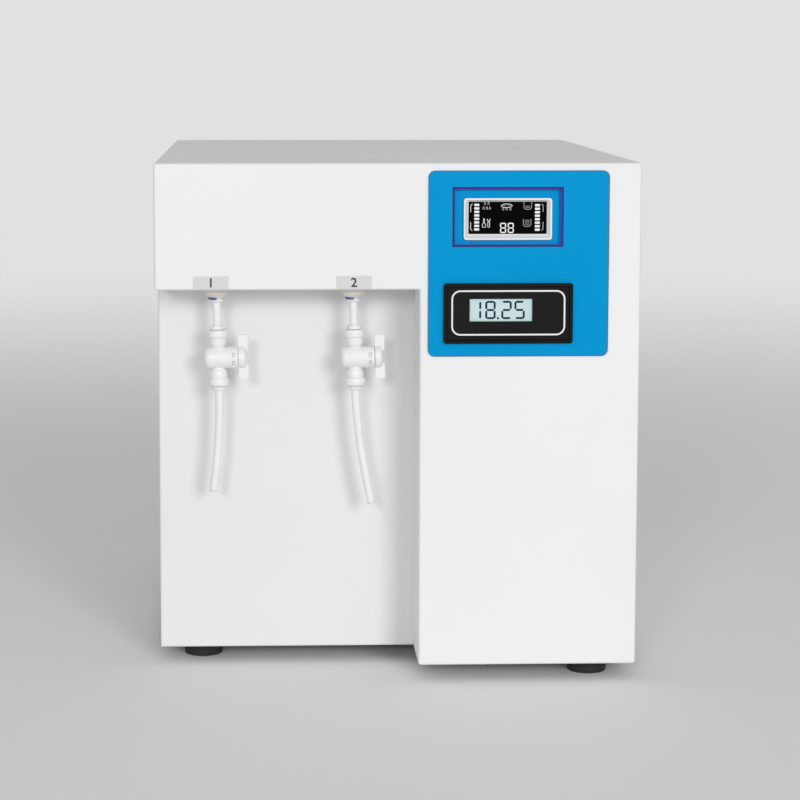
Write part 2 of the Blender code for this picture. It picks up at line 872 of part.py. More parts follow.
def build_controller_board():
    across, up = pocket_middle()
    front = board_front_y()
    back = front + board_thickness
    outline = rectangle(board_width, board_height, (across, up))
    board = make_object("controller_board", prism(outline, front, back), BOARD_GREEN)
    sunk = back - board_thickness / 2
    join(board, block(
        (across - relay_width, sunk, up - relay_height / 2),
        (across, back + relay_depth, up + relay_height / 2),
    ))
    terminal_z = up - board_height / 2 + terminal_height
    join(board, block(
        (across + terminal_side_gap, sunk, terminal_z),
        (across + terminal_width / 2, back + terminal_depth, terminal_z + terminal_height),
    ))


def build_meter():
    """Panel meter: moulded case through the panel, printed face and liquid-crystal glass."""
    middle = meter_middle()
    bezel_back = panel_front_y - seat_gap
    bezel_front = bezel_back - meter_proud
    face_front = bezel_front + meter_recess
    face_back = face_front + meter_face_thickness
    window = (
        middle[0] - meter_width / 2 + meter_window_left + meter_window_width / 2,
        middle[1] + meter_height / 2 - meter_window_drop - meter_window_height / 2,
    )
    border = 2 * meter_glass_border
    glass = (meter_window_width + border, meter_window_height + border)
    glass_front = face_back + seat_gap
    glass_back = glass_front + meter_glass_thickness
    slim = 2 * meter_chamfer
    rim = 2 * meter_rim
    room = 2 * seat_gap
    case_back = bezel_back + meter_case_depth
    face_room = (meter_width - rim + room, meter_height - rim + room)
    sections = [
        (meter_case_width, meter_case_height, moulding_corner, case_back, middle),
        (meter_case_width, meter_case_height, moulding_corner, bezel_back, middle),
        (meter_width, meter_height, meter_corner, bezel_back, middle),
        (meter_width, meter_height, meter_corner, bezel_front + meter_chamfer, middle),
        (meter_width - slim, meter_height - slim, meter_corner, bezel_front, middle),
        (*face_room, moulding_corner, bezel_front, middle),
        (*face_room, moulding_corner, face_back + seat_gap, middle),
    ]
    case = make_object("meter_case", lofted(sections), METER_BLACK)
    cut(case, prism(opening(*glass, window), face_front, glass_back + seat_gap))
    outline = rectangle(meter_width - rim, meter_height - rim, middle)
    face = make_object("meter_face", prism(outline, face_front, face_back), METER_BLACK)
    cut(face, prism(
        rectangle(meter_window_width, meter_window_height, window),
        face_front - cut_overrun, face_back + cut_overrun,
    ))
    make_object("meter_glass", prism(rectangle(*glass, window), glass_front, glass_back), METER_GLASS)


def collet_profile(mouth, length):
    """Collet from its mouth up into the bore: flange, sleeve and the swollen tooth ring."""
    throat = tube_radius + seat_gap
    flange_top = mouth + collet_flange_height
    tip = mouth + collet_flange_height + length
    tooth = tip - collet_tooth_length
    return [
        (throat, mouth), (collet_flange_radius - collet_edge, mouth),
        (collet_flange_radius, mouth + collet_edge), (collet_flange_radius, flange_top),
        (collet_sleeve_radius, flange_top), (collet_sleeve_radius, tooth - collet_edge),
        (collet_tooth_radius, tooth), (collet_sleeve_radius, tip), (throat, tip),
    ]


def bulkhead_levels():
    """Heights of the bulkhead fitting's steps, from the underside that it seats on."""
    flange = -seat_gap - bulkhead_flange_height
    boss = flange - bulkhead_boss_height
    clip_top = boss - seat_gap
    collet_top = clip_top - clip_height - seat_gap
    mouth = collet_top - collet_flange_height
    return {
        "flange": flange, "boss": boss, "clip_top": clip_top, "collet_top": collet_top, "mouth": mouth,
        "tip": collet_top + collet_sleeve_length + clip_height + 2 * seat_gap,
    }


def bulkhead_profile():
    """Flanged union: collet bore and tube socket below, threaded shank and a second socket above."""
    level = bulkhead_levels()
    top = bulkhead_shank_height + bulkhead_port_height
    collet_bore = collet_sleeve_radius + socket_clearance
    socket = tube_radius + socket_clearance
    lower_stop = level["mouth"] + socket_depth
    upper_stop = top - socket_depth
    bore_top = level["tip"] + socket_clearance
    return [
        (collet_bore, level["boss"]), (bulkhead_boss_radius, level["boss"]),
        (bulkhead_boss_radius, level["flange"]),
        (bulkhead_flange_radius - bulkhead_edge, level["flange"]),
        (bulkhead_flange_radius, level["flange"] + bulkhead_edge), (bulkhead_flange_radius, -seat_gap),
        (bulkhead_shank_radius, -seat_gap), (bulkhead_shank_radius, bulkhead_shank_height),
        (bulkhead_boss_radius, bulkhead_shank_height + bulkhead_edge), (bulkhead_boss_radius, top),
        (socket, top), (socket, upper_stop), (flow_radius, upper_stop), (flow_radius, lower_stop),
        (socket, lower_stop), (socket, bore_top), (collet_bore, bore_top),
    ]


def clip_outline():
    """Open ring that snaps round the collet under its flange."""
    inner = collet_sleeve_radius + seat_gap
    first = clip_facing - clip_sweep / 2
    angles = [first + clip_sweep * step / clip_steps for step in range(clip_steps + 1)]
    outside = [(clip_radius * math.cos(angle), clip_radius * math.sin(angle)) for angle in angles]
    inside = [(inner * math.cos(angle), inner * math.sin(angle)) for angle in reversed(angles)]
    return outside + inside


def hexagon(across_flats):
    corner = across_flats / math.sqrt(3)
    return [
        (corner * math.cos(math.pi / 3 * side), corner * math.sin(math.pi / 3 * side)) for side in range(6)
    ]


def valve_outside():
    """Both push-fit ports of the valve as one turned spindle, bottom to top."""
    nut_inner = valve_half_length - valve_nut_height
    collar_inner = nut_inner - valve_collar_height
    upper = [
        (valve_neck_radius, collar_inner - valve_edge), (valve_collar_radius, collar_inner),
        (valve_collar_radius, nut_inner), (valve_nut_radius, nut_inner + valve_edge),
        (valve_nut_radius, valve_half_length - valve_edge),
        (valve_nut_radius - valve_edge, valve_half_length), (0, valve_half_length),
    ]
    lower = [(radius, -height) for radius, height in reversed(upper)]
    return lower + upper


def valve_waterway():
    """Everything that runs through the ports: collet bores, tube sockets and the flow passage."""
    overrun = valve_half_length + cut_overrun
    collet_bore = collet_sleeve_radius + socket_clearance
    socket = tube_radius + socket_clearance
    bore_end = valve_half_length - collet_sleeve_length - socket_clearance
    upper = [
        (flow_radius, valve_stop()), (socket, valve_stop()), (socket, bore_end), (collet_bore, bore_end),
        (collet_bore, overrun), (0, overrun),
    ]
    lower = [(radius, -height) for radius, height in reversed(upper)]
    return lower + upper


def valve_mouth():
    return valve_half_length + seat_gap + collet_flange_height


def valve_stop():
    return valve_mouth() - socket_depth


def barrel_profile():
    left = -barrel_left_reach
    return [
        (0, left), (barrel_radius - barrel_end_round, left),
        (barrel_radius, left + barrel_end_round), (barrel_radius, barrel_right_reach - valve_edge),
        (barrel_radius - valve_edge, barrel_right_reach), (0, barrel_right_reach),
    ]


def ball_profile():
    """Ball, neck, sealing collar with its ring groove, and the stem that drives it."""
    last_angle = math.pi - math.asin(stem_neck_radius / ball_radius)
    angles = [last_angle * step / ball_steps for step in range(1, ball_steps + 1)]
    arc = [(ball_radius * math.sin(angle), -ball_radius * math.cos(angle)) for angle in angles]
    groove_end = stem_groove_start + stem_groove_width
    collar_end = barrel_right_reach - seat_gap
    return [(0, -ball_radius)] + arc + [
        (stem_neck_radius, stem_collar_start), (ball_radius, stem_collar_start),
        (ball_radius, stem_groove_start), (stem_groove_radius, stem_groove_start),
        (stem_groove_radius, groove_end), (ball_radius, groove_end),
        (ball_radius, collar_end), (stem_radius, collar_end), (stem_radius, stem_reach), (0, stem_reach),
    ]


def hub_profile():
    start = barrel_right_reach + seat_gap
    return [
        (0, start), (handle_hub_radius, start), (handle_hub_radius, handle_hub_reach - handle_hub_round),
        (handle_hub_radius - handle_hub_round, handle_hub_reach), (0, handle_hub_reach),
    ]


def build_outlet(side, outlet_x, route):
    """One dispensing outlet: bulkhead, leaning riser, push-fit ball valve and free tube."""
    level = bulkhead_levels()
    seat = empty(f"{side}_outlet_seat", (outlet_x, outlet_y, head_bottom))
    body = make_object(f"{side}_bulkhead", turned(bulkhead_profile(), round_sides), FITTING_IVORY, seat)
    body.location = (0, 0, 0)
    nut_base = sheet + seat_gap
    nut = make_object(
        f"{side}_bulkhead_nut", prism(hexagon(nut_across_flats), nut_base, nut_base + nut_height, "Z"),
        FITTING_IVORY, seat,
    )
    cut(nut, rod(
        bulkhead_shank_radius + seat_gap, nut_base - cut_overrun, nut_base + nut_height + cut_overrun,
        round_sides,
    ))
    make_object(
        f"{side}_locking_clip",
        prism(clip_outline(), level["clip_top"] - clip_height, level["clip_top"], "Z"), CLIP_BLUE, seat,
    )
    sway_level = (level["mouth"] + level["tip"]) / 2
    sway = empty(f"{side}_outlet_lean", (0, 0, sway_level), (0, -outlet_lean, 0), seat)
    long_sleeve = level["tip"] - level["collet_top"]
    make_object(
        f"{side}_bulkhead_collet",
        turned(collet_profile(level["mouth"] - sway_level, long_sleeve), slender_sides),
        FITTING_WHITE, sway,
    )
    valve = empty(f"{side}_valve_middle", (0, 0, -valve_drop - sway_level), (0, 0, 0), sway)
    riser_low = valve_stop() + seat_gap
    riser_high = valve_drop + level["mouth"] + socket_depth - seat_gap
    make_object(
        f"{side}_riser_tube",
        turned([
            (tube_bore_radius, riser_low), (tube_radius, riser_low),
            (tube_radius, riser_high), (tube_bore_radius, riser_high),
        ], round_sides), TUBE_WHITE, valve,
    )
    build_valve(side, valve)
    places = [(outlet_x + sideways, outlet_y, head_bottom + drop) for sideways, drop in route]
    tube_along(
        f"{side}_outlet_tube", smooth_route(places, tube_point_spacing), tube_radius,
        outlet_tube_bevel_resolution, TUBE_WHITE,
    )


def build_valve(side, valve):
    """Push-fit ball valve; the ball and its butterfly handle turn about X."""
    ports = turned(valve_outside(), round_sides)
    body = make_object(f"{side}_valve_body", ports, FITTING_WHITE, valve)
    join(body, turned(barrel_profile(), round_sides, "X"))
    cut(body, turned(valve_waterway(), round_sides))
    chamber = ball_radius + seat_gap
    cut(body, rod(chamber, -chamber, barrel_right_reach + cut_overrun, round_sides, "X"))
    for name, facing in (("upper", 1), ("lower", -1)):
        shape = turned(collet_profile(-valve_mouth(), collet_sleeve_length + seat_gap), slender_sides)
        collet = make_object(f"{side}_valve_{name}_collet", shape, FITTING_WHITE, valve)
        collet.rotation_euler = (math.pi if facing > 0 else 0, 0, 0)
    drive = turned(ball_profile(), round_sides, "X")
    ball = make_object(f"{side}_valve_ball", drive, FITTING_WHITE, valve)
    cut(ball, rod(flow_radius, -ball_radius - cut_overrun, ball_radius + cut_overrun, round_sides))
    hub = turned(hub_profile(), round_sides, "X")
    handle = make_object(f"{side}_valve_handle", hub, FITTING_WHITE, valve)
    wings = rounded(rectangle(wing_width, wing_span, (wing_start + wing_width / 2, 0)), wing_corner)
    join(handle, prism(wings, -wing_thickness / 2, wing_thickness / 2))
    cut(handle, rod(
        stem_radius + seat_gap, barrel_right_reach - cut_overrun, stem_reach + seat_gap, round_sides, "X",
    ))


def build_rear_ports():
    """Three push-fit unions for the feed, the tank and the drain."""
    socket = tube_radius + seat_gap
    shank = bulkhead_shank_radius
    flange = seat_gap + bulkhead_flange_height
    boss = flange + bulkhead_boss_height
    mouth = rear_reach
    nut_start = -sheet - seat_gap
    nut_end = nut_start - port_nut_height
    tail = -sheet - port_shank_length
    profile = [
        (socket, mouth), (collet_flange_radius, mouth), (collet_flange_radius, boss),
        (bulkhead_boss_radius, boss), (bulkhead_boss_radius, flange), (bulkhead_flange_radius, flange),
        (bulkhead_flange_radius, seat_gap), (shank, seat_gap), (shank, nut_start),
        (port_nut_radius, nut_start), (port_nut_radius, nut_end), (shank, nut_end), (shank, tail),
        (flow_radius, tail), (flow_radius, mouth - socket_depth), (socket, mouth - socket_depth),
    ]
    for name, port_x in port_places().items():
        port = make_object(name, turned(profile, slender_sides, "Y"), FITTING_WHITE)
        port.location = (port_x, rear_y, body_bottom + port_height)


def inlet_middle():
    return left_x + inlet_inset, body_bottom + inlet_height


def build_power_inlet():
    """Mains inlet and switch in one moulding, flanged on the rear panel."""
    across, up = inlet_middle()
    flange_y = rear_y + seat_gap
    flange_front = flange_y + inlet_flange_thickness
    body = (inlet_body_width, inlet_body_height, moulding_corner)
    flange = (inlet_flange_width, inlet_flange_height, inlet_corner)
    slim = 2 * moulding_chamfer
    face = (inlet_flange_width - slim, inlet_flange_height - slim, inlet_corner)
    middle = (across, up)
    sections = [
        (*body, flange_y - inlet_body_depth, middle), (*body, flange_y, middle),
        (*flange, flange_y, middle), (*flange, flange_front - moulding_chamfer, middle),
        (*face, flange_front, middle),
    ]
    inlet = make_object("power_inlet", lofted(sections), SWITCH_BLACK)
    socket_z = up - plug_socket_drop
    socket = rectangle(plug_socket_width, plug_socket_height, (across, socket_z))
    corners = [0, 0, plug_socket_corner, plug_socket_corner]
    floor_y = flange_front - plug_socket_depth
    cut(inlet, prism(rounded(socket, corners), floor_y, flange_front + cut_overrun))
    for place, rise in ((-1, 0), (0, earth_pin_rise), (1, 0)):
        pin_x = across + place * pin_spacing
        pin_z = socket_z + rise
        join(inlet, block(
            (pin_x - pin_width / 2, floor_y - pin_width, pin_z - pin_height / 2),
            (pin_x + pin_width / 2, floor_y + pin_reach, pin_z + pin_height / 2),
        ))
    switch_z = up + switch_rise
    half_width = switch_opening_width / 2
    half_height = switch_opening_height / 2
    cut(inlet, block(
        (across - half_width, flange_front - switch_opening_depth, switch_z - half_height),
        (across + half_width, flange_front + cut_overrun, switch_z + half_height),
    ))
    pin_hole = half_width + rocker_pin_length + seat_gap
    cut(inlet, rod(
        rocker_pin_radius + seat_gap, -pin_hole, pin_hole, pin_sides, "X",
        (across, rocker_axis_y(), switch_z),
    ))
    pivot = empty("power_rocker_axis", (across, rocker_axis_y(), switch_z), (rocker_tilt, 0, 0))
    crest = switch_opening_height / 2 - seat_gap - rocker_sweep_clearance
    root = crest - rocker_root_inset
    outline = [
        (-rocker_root_depth, -root), (rocker_face_reach, -crest), (rocker_face_reach - rocker_dip, 0),
        (rocker_face_reach, crest), (-rocker_root_depth, root),
    ]
    width = half_width - seat_gap
    rocker = make_object("power_rocker", prism(outline, -width, width, "X"), SWITCH_BLACK, pivot)
    pin_end = half_width + rocker_pin_length
    join(rocker, rod(rocker_pin_radius, -pin_end, pin_end, pin_sides, "X"))


def rocker_axis_y():
    return rear_y + seat_gap + inlet_flange_thickness - rocker_face_reach


def cartridge_places():
    names = (
        "polishing_cartridge_2", "polishing_cartridge_1", "membrane_housing", "carbon_cartridge",
        "sediment_cartridge",
    )
    first = -(cartridge_count - 1) / 2 * cartridge_pitch
    row_y = rear_y - cartridge_setback
    return {name: (first + place * cartridge_pitch, row_y) for place, name in enumerate(names)}


def build_cartridges():
    waist = cartridge_radius - cartridge_cap_step
    cap = cartridge_cap_height
    edge = cartridge_edge
    top = cartridge_height
    profile = [
        (0, 0), (cartridge_radius - edge, 0), (cartridge_radius, edge), (cartridge_radius, cap),
        (waist, cap), (waist, top - cap), (cartridge_radius, top - cap), (cartridge_radius, top - edge),
        (cartridge_radius - edge, top), (cartridge_neck_radius, top),
        (cartridge_neck_radius, top + cartridge_neck_height), (0, top + cartridge_neck_height),
    ]
    for name, (cartridge_x, cartridge_y) in cartridge_places().items():
        cartridge = make_object(name, turned(profile, slender_sides), CARTRIDGE_WHITE)
        cartridge.location = (cartridge_x, cartridge_y, pan_floor)


def build_cartridge_rack():
    """Folded shelf round the cartridges' upper caps, standing on the base pan."""
    half = cabinet_width / 2 - 2 * (sheet + seat_gap) - rack_side_gap
    shelf_top = pan_floor + cartridge_height - rack_drop + sheet
    path = [
        (-half + rack_foot, pan_floor), (-half, pan_floor), (-half, shelf_top),
        (half, shelf_top), (half, pan_floor), (half - rack_foot, pan_floor),
    ]
    row_y = rear_y - cartridge_setback
    outline = strip(path, sheet)
    shelf = prism(outline, row_y - rack_depth / 2, row_y + rack_depth / 2)
    rack = make_object("cartridge_rack", shelf, GALVANISED)
    for cartridge_x, cartridge_y in cartridge_places().values():
        cut(rack, rod(
            cartridge_radius + seat_gap, shelf_top - sheet - cut_overrun, shelf_top + cut_overrun,
            slender_sides, centre=(cartridge_x, cartridge_y, 0),
        ))


def supply_starts():
    """Places where the two supply tubes stand in their sockets, above the cartridges."""
    places = cartridge_places()
    polished_x, row_y = places["polishing_cartridge_2"]
    filtered_x = places["membrane_housing"][0]
    top = pan_floor + cartridge_height + cartridge_neck_height + seat_gap
    return {"left": (polished_x, row_y, top), "right": (filtered_x, row_y, top)}


def build_cells():
    """Conductivity cell in the polished line, and a plain union of the same shape in the other."""
    socket = tube_radius + seat_gap
    profile = [
        (0, 0), (cell_collar_radius, 0), (cell_collar_radius, cell_collar_height),
        (cell_radius, cell_collar_height), (cell_radius, cell_height), (socket, cell_height),
        (socket, cell_height - supply_socket_depth), (0, cell_height - supply_socket_depth),
    ]
    for name, side in (("conductivity_cell", "left"), ("membrane_union", "right")):
        cell = make_object(name, turned(profile, round_sides), FITTING_WHITE)
        cell.location = supply_starts()[side]


def build_supply_tubes():
    """Tubes from the cells over the machine's inside to the bulkheads in the head."""
    for side, outlet_x in outlet_places().items():
        start_x, start_y, cell_base = supply_starts()[side]
        mouth_z = cell_base + cell_height
        foot_z = mouth_z - supply_socket_depth + seat_gap
        bulkhead_top = head_bottom + bulkhead_shank_height + bulkhead_port_height
        end_z = bulkhead_top - socket_depth + seat_gap
        high_z = bulkhead_top + supply_rise
        near_places = [foot_z, mouth_z, mouth_z + supply_straight / 2, mouth_z + supply_straight]
        far_places = [
            bulkhead_top + supply_straight, bulkhead_top + supply_straight / 2, bulkhead_top, end_z,
        ]
        places = [(start_x, start_y, height) for height in near_places]
        for share in supply_crossing_shares:
            places.append((
                start_x + (outlet_x - start_x) * share, start_y + (outlet_y - start_y) * share, high_z,
            ))
        places += [(outlet_x, outlet_y, height) for height in far_places]
        tube_along(
            f"{side}_supply_tube", smooth_route(places, supply_tube_spacing), tube_radius,
            supply_bevel_resolution, TUBE_WHITE,
        )


def build_booster_pump():
    """Diaphragm pump: motor, square head and a foot plate on the base pan."""
    axis_z = pan_floor + pump_head_size / 2 + pump_foot_height
    middle_y = rear_y - pump_setback
    motor_end = pump_motor_length - pump_edge
    pump = make_object("booster_pump", turned([
        (0, 0), (pump_motor_radius, 0), (pump_motor_radius, motor_end),
        (pump_motor_radius - pump_edge, pump_motor_length), (pump_boss_radius, pump_motor_length),
        (pump_boss_radius, pump_motor_length + pump_boss_length), (0, pump_motor_length + pump_boss_length),
    ], round_sides, "X"), PUMP_BLACK)
    pump.location = (pump_x, middle_y, axis_z)
    head = rounded(rectangle(pump_head_size, pump_head_size), pump_head_round)
    join(pump, prism(head, -pump_head_length, pump_edge, "X"), pump)
    foot_low = pan_floor - axis_z
    join(pump, block(
        (-pump_head_length, -pump_foot_width / 2, foot_low),
        (pump_foot_length, pump_foot_width / 2, foot_low + pump_foot_height),
    ), pump)
    join(pump, block(
        (pump_edge, -pump_saddle_width / 2, foot_low + pump_foot_height / 2),
        (pump_foot_length - pump_edge, pump_saddle_width / 2, -pump_motor_radius / 2),
    ), pump)


def build_power_supply():
    """Closed power supply with its stepped terminal end."""
    low_y = rear_y - supply_box_setback - supply_box_length / 2
    high_y = low_y + supply_box_length
    top = pan_floor + supply_box_height
    step_top = pan_floor + supply_step_height
    outline = [
        (low_y, pan_floor), (high_y, pan_floor), (high_y, top),
        (low_y + supply_step_length, top), (low_y + supply_step_length, step_top), (low_y, step_top),
    ]
    high_x = supply_box_low_x + supply_box_width
    make_object("power_supply", prism(outline, supply_box_low_x, high_x, "X"), GALVANISED)


def build_solenoid_valve():
    """Feed valve in line with the feed port, on a leg down to the base pan."""
    port_x = port_places()["feed_port"]
    axis_z = body_bottom + port_height
    back_y = rear_y - sheet - port_shank_length - seat_gap
    front = back_y - solenoid_body_length
    half_width = solenoid_body_width / 2
    half_height = solenoid_body_height / 2
    middle_y = (front + back_y) / 2
    valve = make_object("feed_solenoid_valve", block(
        (port_x - half_width, front, axis_z - half_height),
        (port_x + half_width, back_y, axis_z + half_height),
    ), COIL_BLACK)
    join(valve, rod(
        solenoid_coil_radius, 0, half_height + solenoid_coil_height, round_sides,
        centre=(port_x, middle_y, axis_z),
    ))
    half_leg = solenoid_leg_width / 2
    join(valve, block(
        (port_x - half_leg, middle_y - half_leg, pan_floor),
        (port_x + half_leg, middle_y + half_leg, axis_z),
    ))


def build_machine():
    clear_scene()
    build_front_fascia()
    build_alcove_panel()
    build_wrap_cover()
    build_base_pan()
    build_feet()
    build_rear_panel()
    build_control_panel()
    build_display_pocket()
    build_display_bezel()
    build_controller_board()
    build_meter()
    routes = {"left": left_tube_route, "right": right_tube_route}
    for side, outlet_x in outlet_places().items():
        build_outlet(side, outlet_x, routes[side])
    build_rear_ports()
    build_power_inlet()
    build_cartridges()
    build_cartridge_rack()
    build_cells()
    build_supply_tubes()
    build_booster_pump()
    build_power_supply()
    build_solenoid_valve()


build_machine()
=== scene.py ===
"""Looks of the bench-top ultrapure water system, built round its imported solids.

Metres, +Z up. X runs to the viewer's right and the front looks along -Y.
"""
import json
import math

import bmesh
import bpy
from mathutils import Matrix, Vector


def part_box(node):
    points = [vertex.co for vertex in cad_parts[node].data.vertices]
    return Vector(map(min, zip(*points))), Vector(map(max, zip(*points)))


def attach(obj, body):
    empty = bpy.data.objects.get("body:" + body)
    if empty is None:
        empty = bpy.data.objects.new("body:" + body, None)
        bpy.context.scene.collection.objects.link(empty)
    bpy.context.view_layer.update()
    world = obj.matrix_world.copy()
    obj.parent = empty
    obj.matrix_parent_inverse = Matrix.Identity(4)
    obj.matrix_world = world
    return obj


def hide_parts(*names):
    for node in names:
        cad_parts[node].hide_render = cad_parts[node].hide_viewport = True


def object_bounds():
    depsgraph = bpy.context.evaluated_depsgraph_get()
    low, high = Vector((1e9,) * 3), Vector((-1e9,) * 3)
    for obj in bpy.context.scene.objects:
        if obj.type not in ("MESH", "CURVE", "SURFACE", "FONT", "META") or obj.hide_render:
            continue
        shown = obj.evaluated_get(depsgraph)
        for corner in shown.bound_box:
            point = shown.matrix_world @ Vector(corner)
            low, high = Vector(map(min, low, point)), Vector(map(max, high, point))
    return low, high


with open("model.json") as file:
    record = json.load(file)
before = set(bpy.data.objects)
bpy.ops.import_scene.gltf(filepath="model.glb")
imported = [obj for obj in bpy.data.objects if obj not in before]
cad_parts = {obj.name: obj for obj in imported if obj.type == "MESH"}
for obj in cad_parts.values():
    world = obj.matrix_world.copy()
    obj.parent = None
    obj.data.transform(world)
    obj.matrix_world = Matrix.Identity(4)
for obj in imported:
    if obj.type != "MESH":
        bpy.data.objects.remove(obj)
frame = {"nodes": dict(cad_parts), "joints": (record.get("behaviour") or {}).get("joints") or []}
cad_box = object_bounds()
nodes = frame["nodes"]
joints = {joint["name"]: joint for joint in frame["joints"]}

# Fits, sheet metal and small radii
seat_gap = 0.0003
weld = 0.000001
overrun = 0.001
sheet = 0.0015
sheet_bend = 0.0020
sheet_arris = 0.0003
moulded_arris = 0.0002
print_height = 0.00006
print_sink = 0.00004
print_thickness = print_height + print_sink
round_steps = 64
edge_steps = 3
sharp_edge = math.radians(35)
fold_edge = math.radians(60)
flat_limit = math.radians(0.5)
smooth_limit = math.radians(50)
round_profile = 0.5


# Places read from the frame

def middle_of(node):
    low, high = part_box(node)
    return (low + high) / 2


def extent(node):
    low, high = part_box(node)
    return high - low


front_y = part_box("front_fascia")[0].y
left_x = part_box("front_fascia")[0].x
port_plane_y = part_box("rear_panel")[1].y
head_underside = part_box("alcove_panel")[1].z + seat_gap
panel_low, panel_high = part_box("control_panel_plate")


# Shared shader groups

def new_group(name, inputs, outputs):
    """Empty shader group; each input is (name, kind, value)."""
    group = bpy.data.node_groups.new(name, "ShaderNodeTree")
    for label, kind, value in inputs:
        socket = group.interface.new_socket(label, in_out="INPUT", socket_type=f"NodeSocket{kind}")
        socket.default_value = value
    for label, kind in outputs:
        group.interface.new_socket(label, in_out="OUTPUT", socket_type=f"NodeSocket{kind}")
    return group, group.nodes.new("NodeGroupInput"), group.nodes.new("NodeGroupOutput")


def add(tree, kind, values=(), **settings):
    """New shader node with its settings and the values of its named inputs."""
    node = tree.nodes.new(f"ShaderNode{kind}")
    for key, value in settings.items():
        setattr(node, key, value)
    for key, value in dict(values).items():
        node.inputs[key].default_value = value
    return node


def join(tree, *links):
    """Connect shader nodes; each link is (node, output, node, input)."""
    for source, output, target, entry in links:
        tree.links.new(source.outputs[output], target.inputs[entry])


def make_grain_group():
    """Fine relief of a painted or moulded skin, from two sizes of noise."""
    group, entry, result = new_group(
        "skin grain",
        [("Scale", "Float", 900.0), ("Height", "Float", 0.00002), ("Waviness", "Float", 0.3)],
        [("Normal", "Vector")],
    )
    place = add(group, "TexCoord")
    fine = add(group, "TexNoise", {"Detail": 2.0, "Roughness": 0.6})
    broad = add(group, "TexNoise", {"Detail": 1.0, "Roughness": 0.5})
    fifth = add(group, "Math", {1: 0.2}, operation="MULTIPLY")
    weighted = add(group, "Math", operation="MULTIPLY")
    total = add(group, "Math", operation="ADD")
    relief = add(group, "Bump", {"Strength": 1.0})
    join(
        group,
        (place, "Object", fine, "Vector"), (place, "Object", broad, "Vector"),
        (entry, "Scale", fine, "Scale"), (entry, "Scale", fifth, 0), (fifth, 0, broad, "Scale"),
        (broad, "Fac", weighted, 0), (entry, "Waviness", weighted, 1), (fine, "Fac", total, 0),
        (weighted, 0, total, 1), (total, 0, relief, "Height"), (entry, "Height", relief, "Distance"),
        (relief, "Normal", result, "Normal"),
    )
    return group


def make_tone_group():
    """Slow change of colour and roughness over a surface, as from handling and age."""
    group, entry, result = new_group(
        "tone drift",
        [
            ("Base", "Color", (0.8, 0.8, 0.8, 1.0)), ("Aged", "Color", (0.75, 0.75, 0.74, 1.0)),
            ("Scale", "Float", 12.0), ("Smooth", "Float", 0.35), ("Rough", "Float", 0.5),
        ],
        [("Color", "Color"), ("Roughness", "Float")],
    )
    place = add(group, "TexCoord")
    clouds = add(group, "TexNoise", {"Detail": 4.0, "Roughness": 0.55})
    spread = add(group, "MapRange", {"From Min": 0.35, "From Max": 0.65})
    tint = add(group, "Mix", data_type="RGBA")
    polish = add(group, "MapRange", {"From Min": 0.3, "From Max": 0.7})
    join(
        group,
        (place, "Object", clouds, "Vector"), (entry, "Scale", clouds, "Scale"),
        (clouds, "Fac", spread, "Value"), (spread, "Result", tint, "Factor"), (entry, "Base", tint, 6),
        (entry, "Aged", tint, 7), (clouds, "Fac", polish, "Value"), (entry, "Smooth", polish, "To Min"),
        (entry, "Rough", polish, "To Max"), (tint, 2, result, "Color"),
        (polish, "Result", result, "Roughness"),
    )
    return group


grain_group = make_grain_group()
tone_group = make_tone_group()


# Materials

def grey(value):
    return (value, value, value)


# Settings that several finishes share
ENAMEL = dict(drift=6.0, grain=700.0, height=0.000012, waviness=0.6, Specular_IOR_Level=0.06)
FILM = dict(grain=2500.0, height=0.000008)
PRINT = dict(grain=3000.0)
MOULDING = dict(drift=60.0, grain=1400.0, height=0.000012)

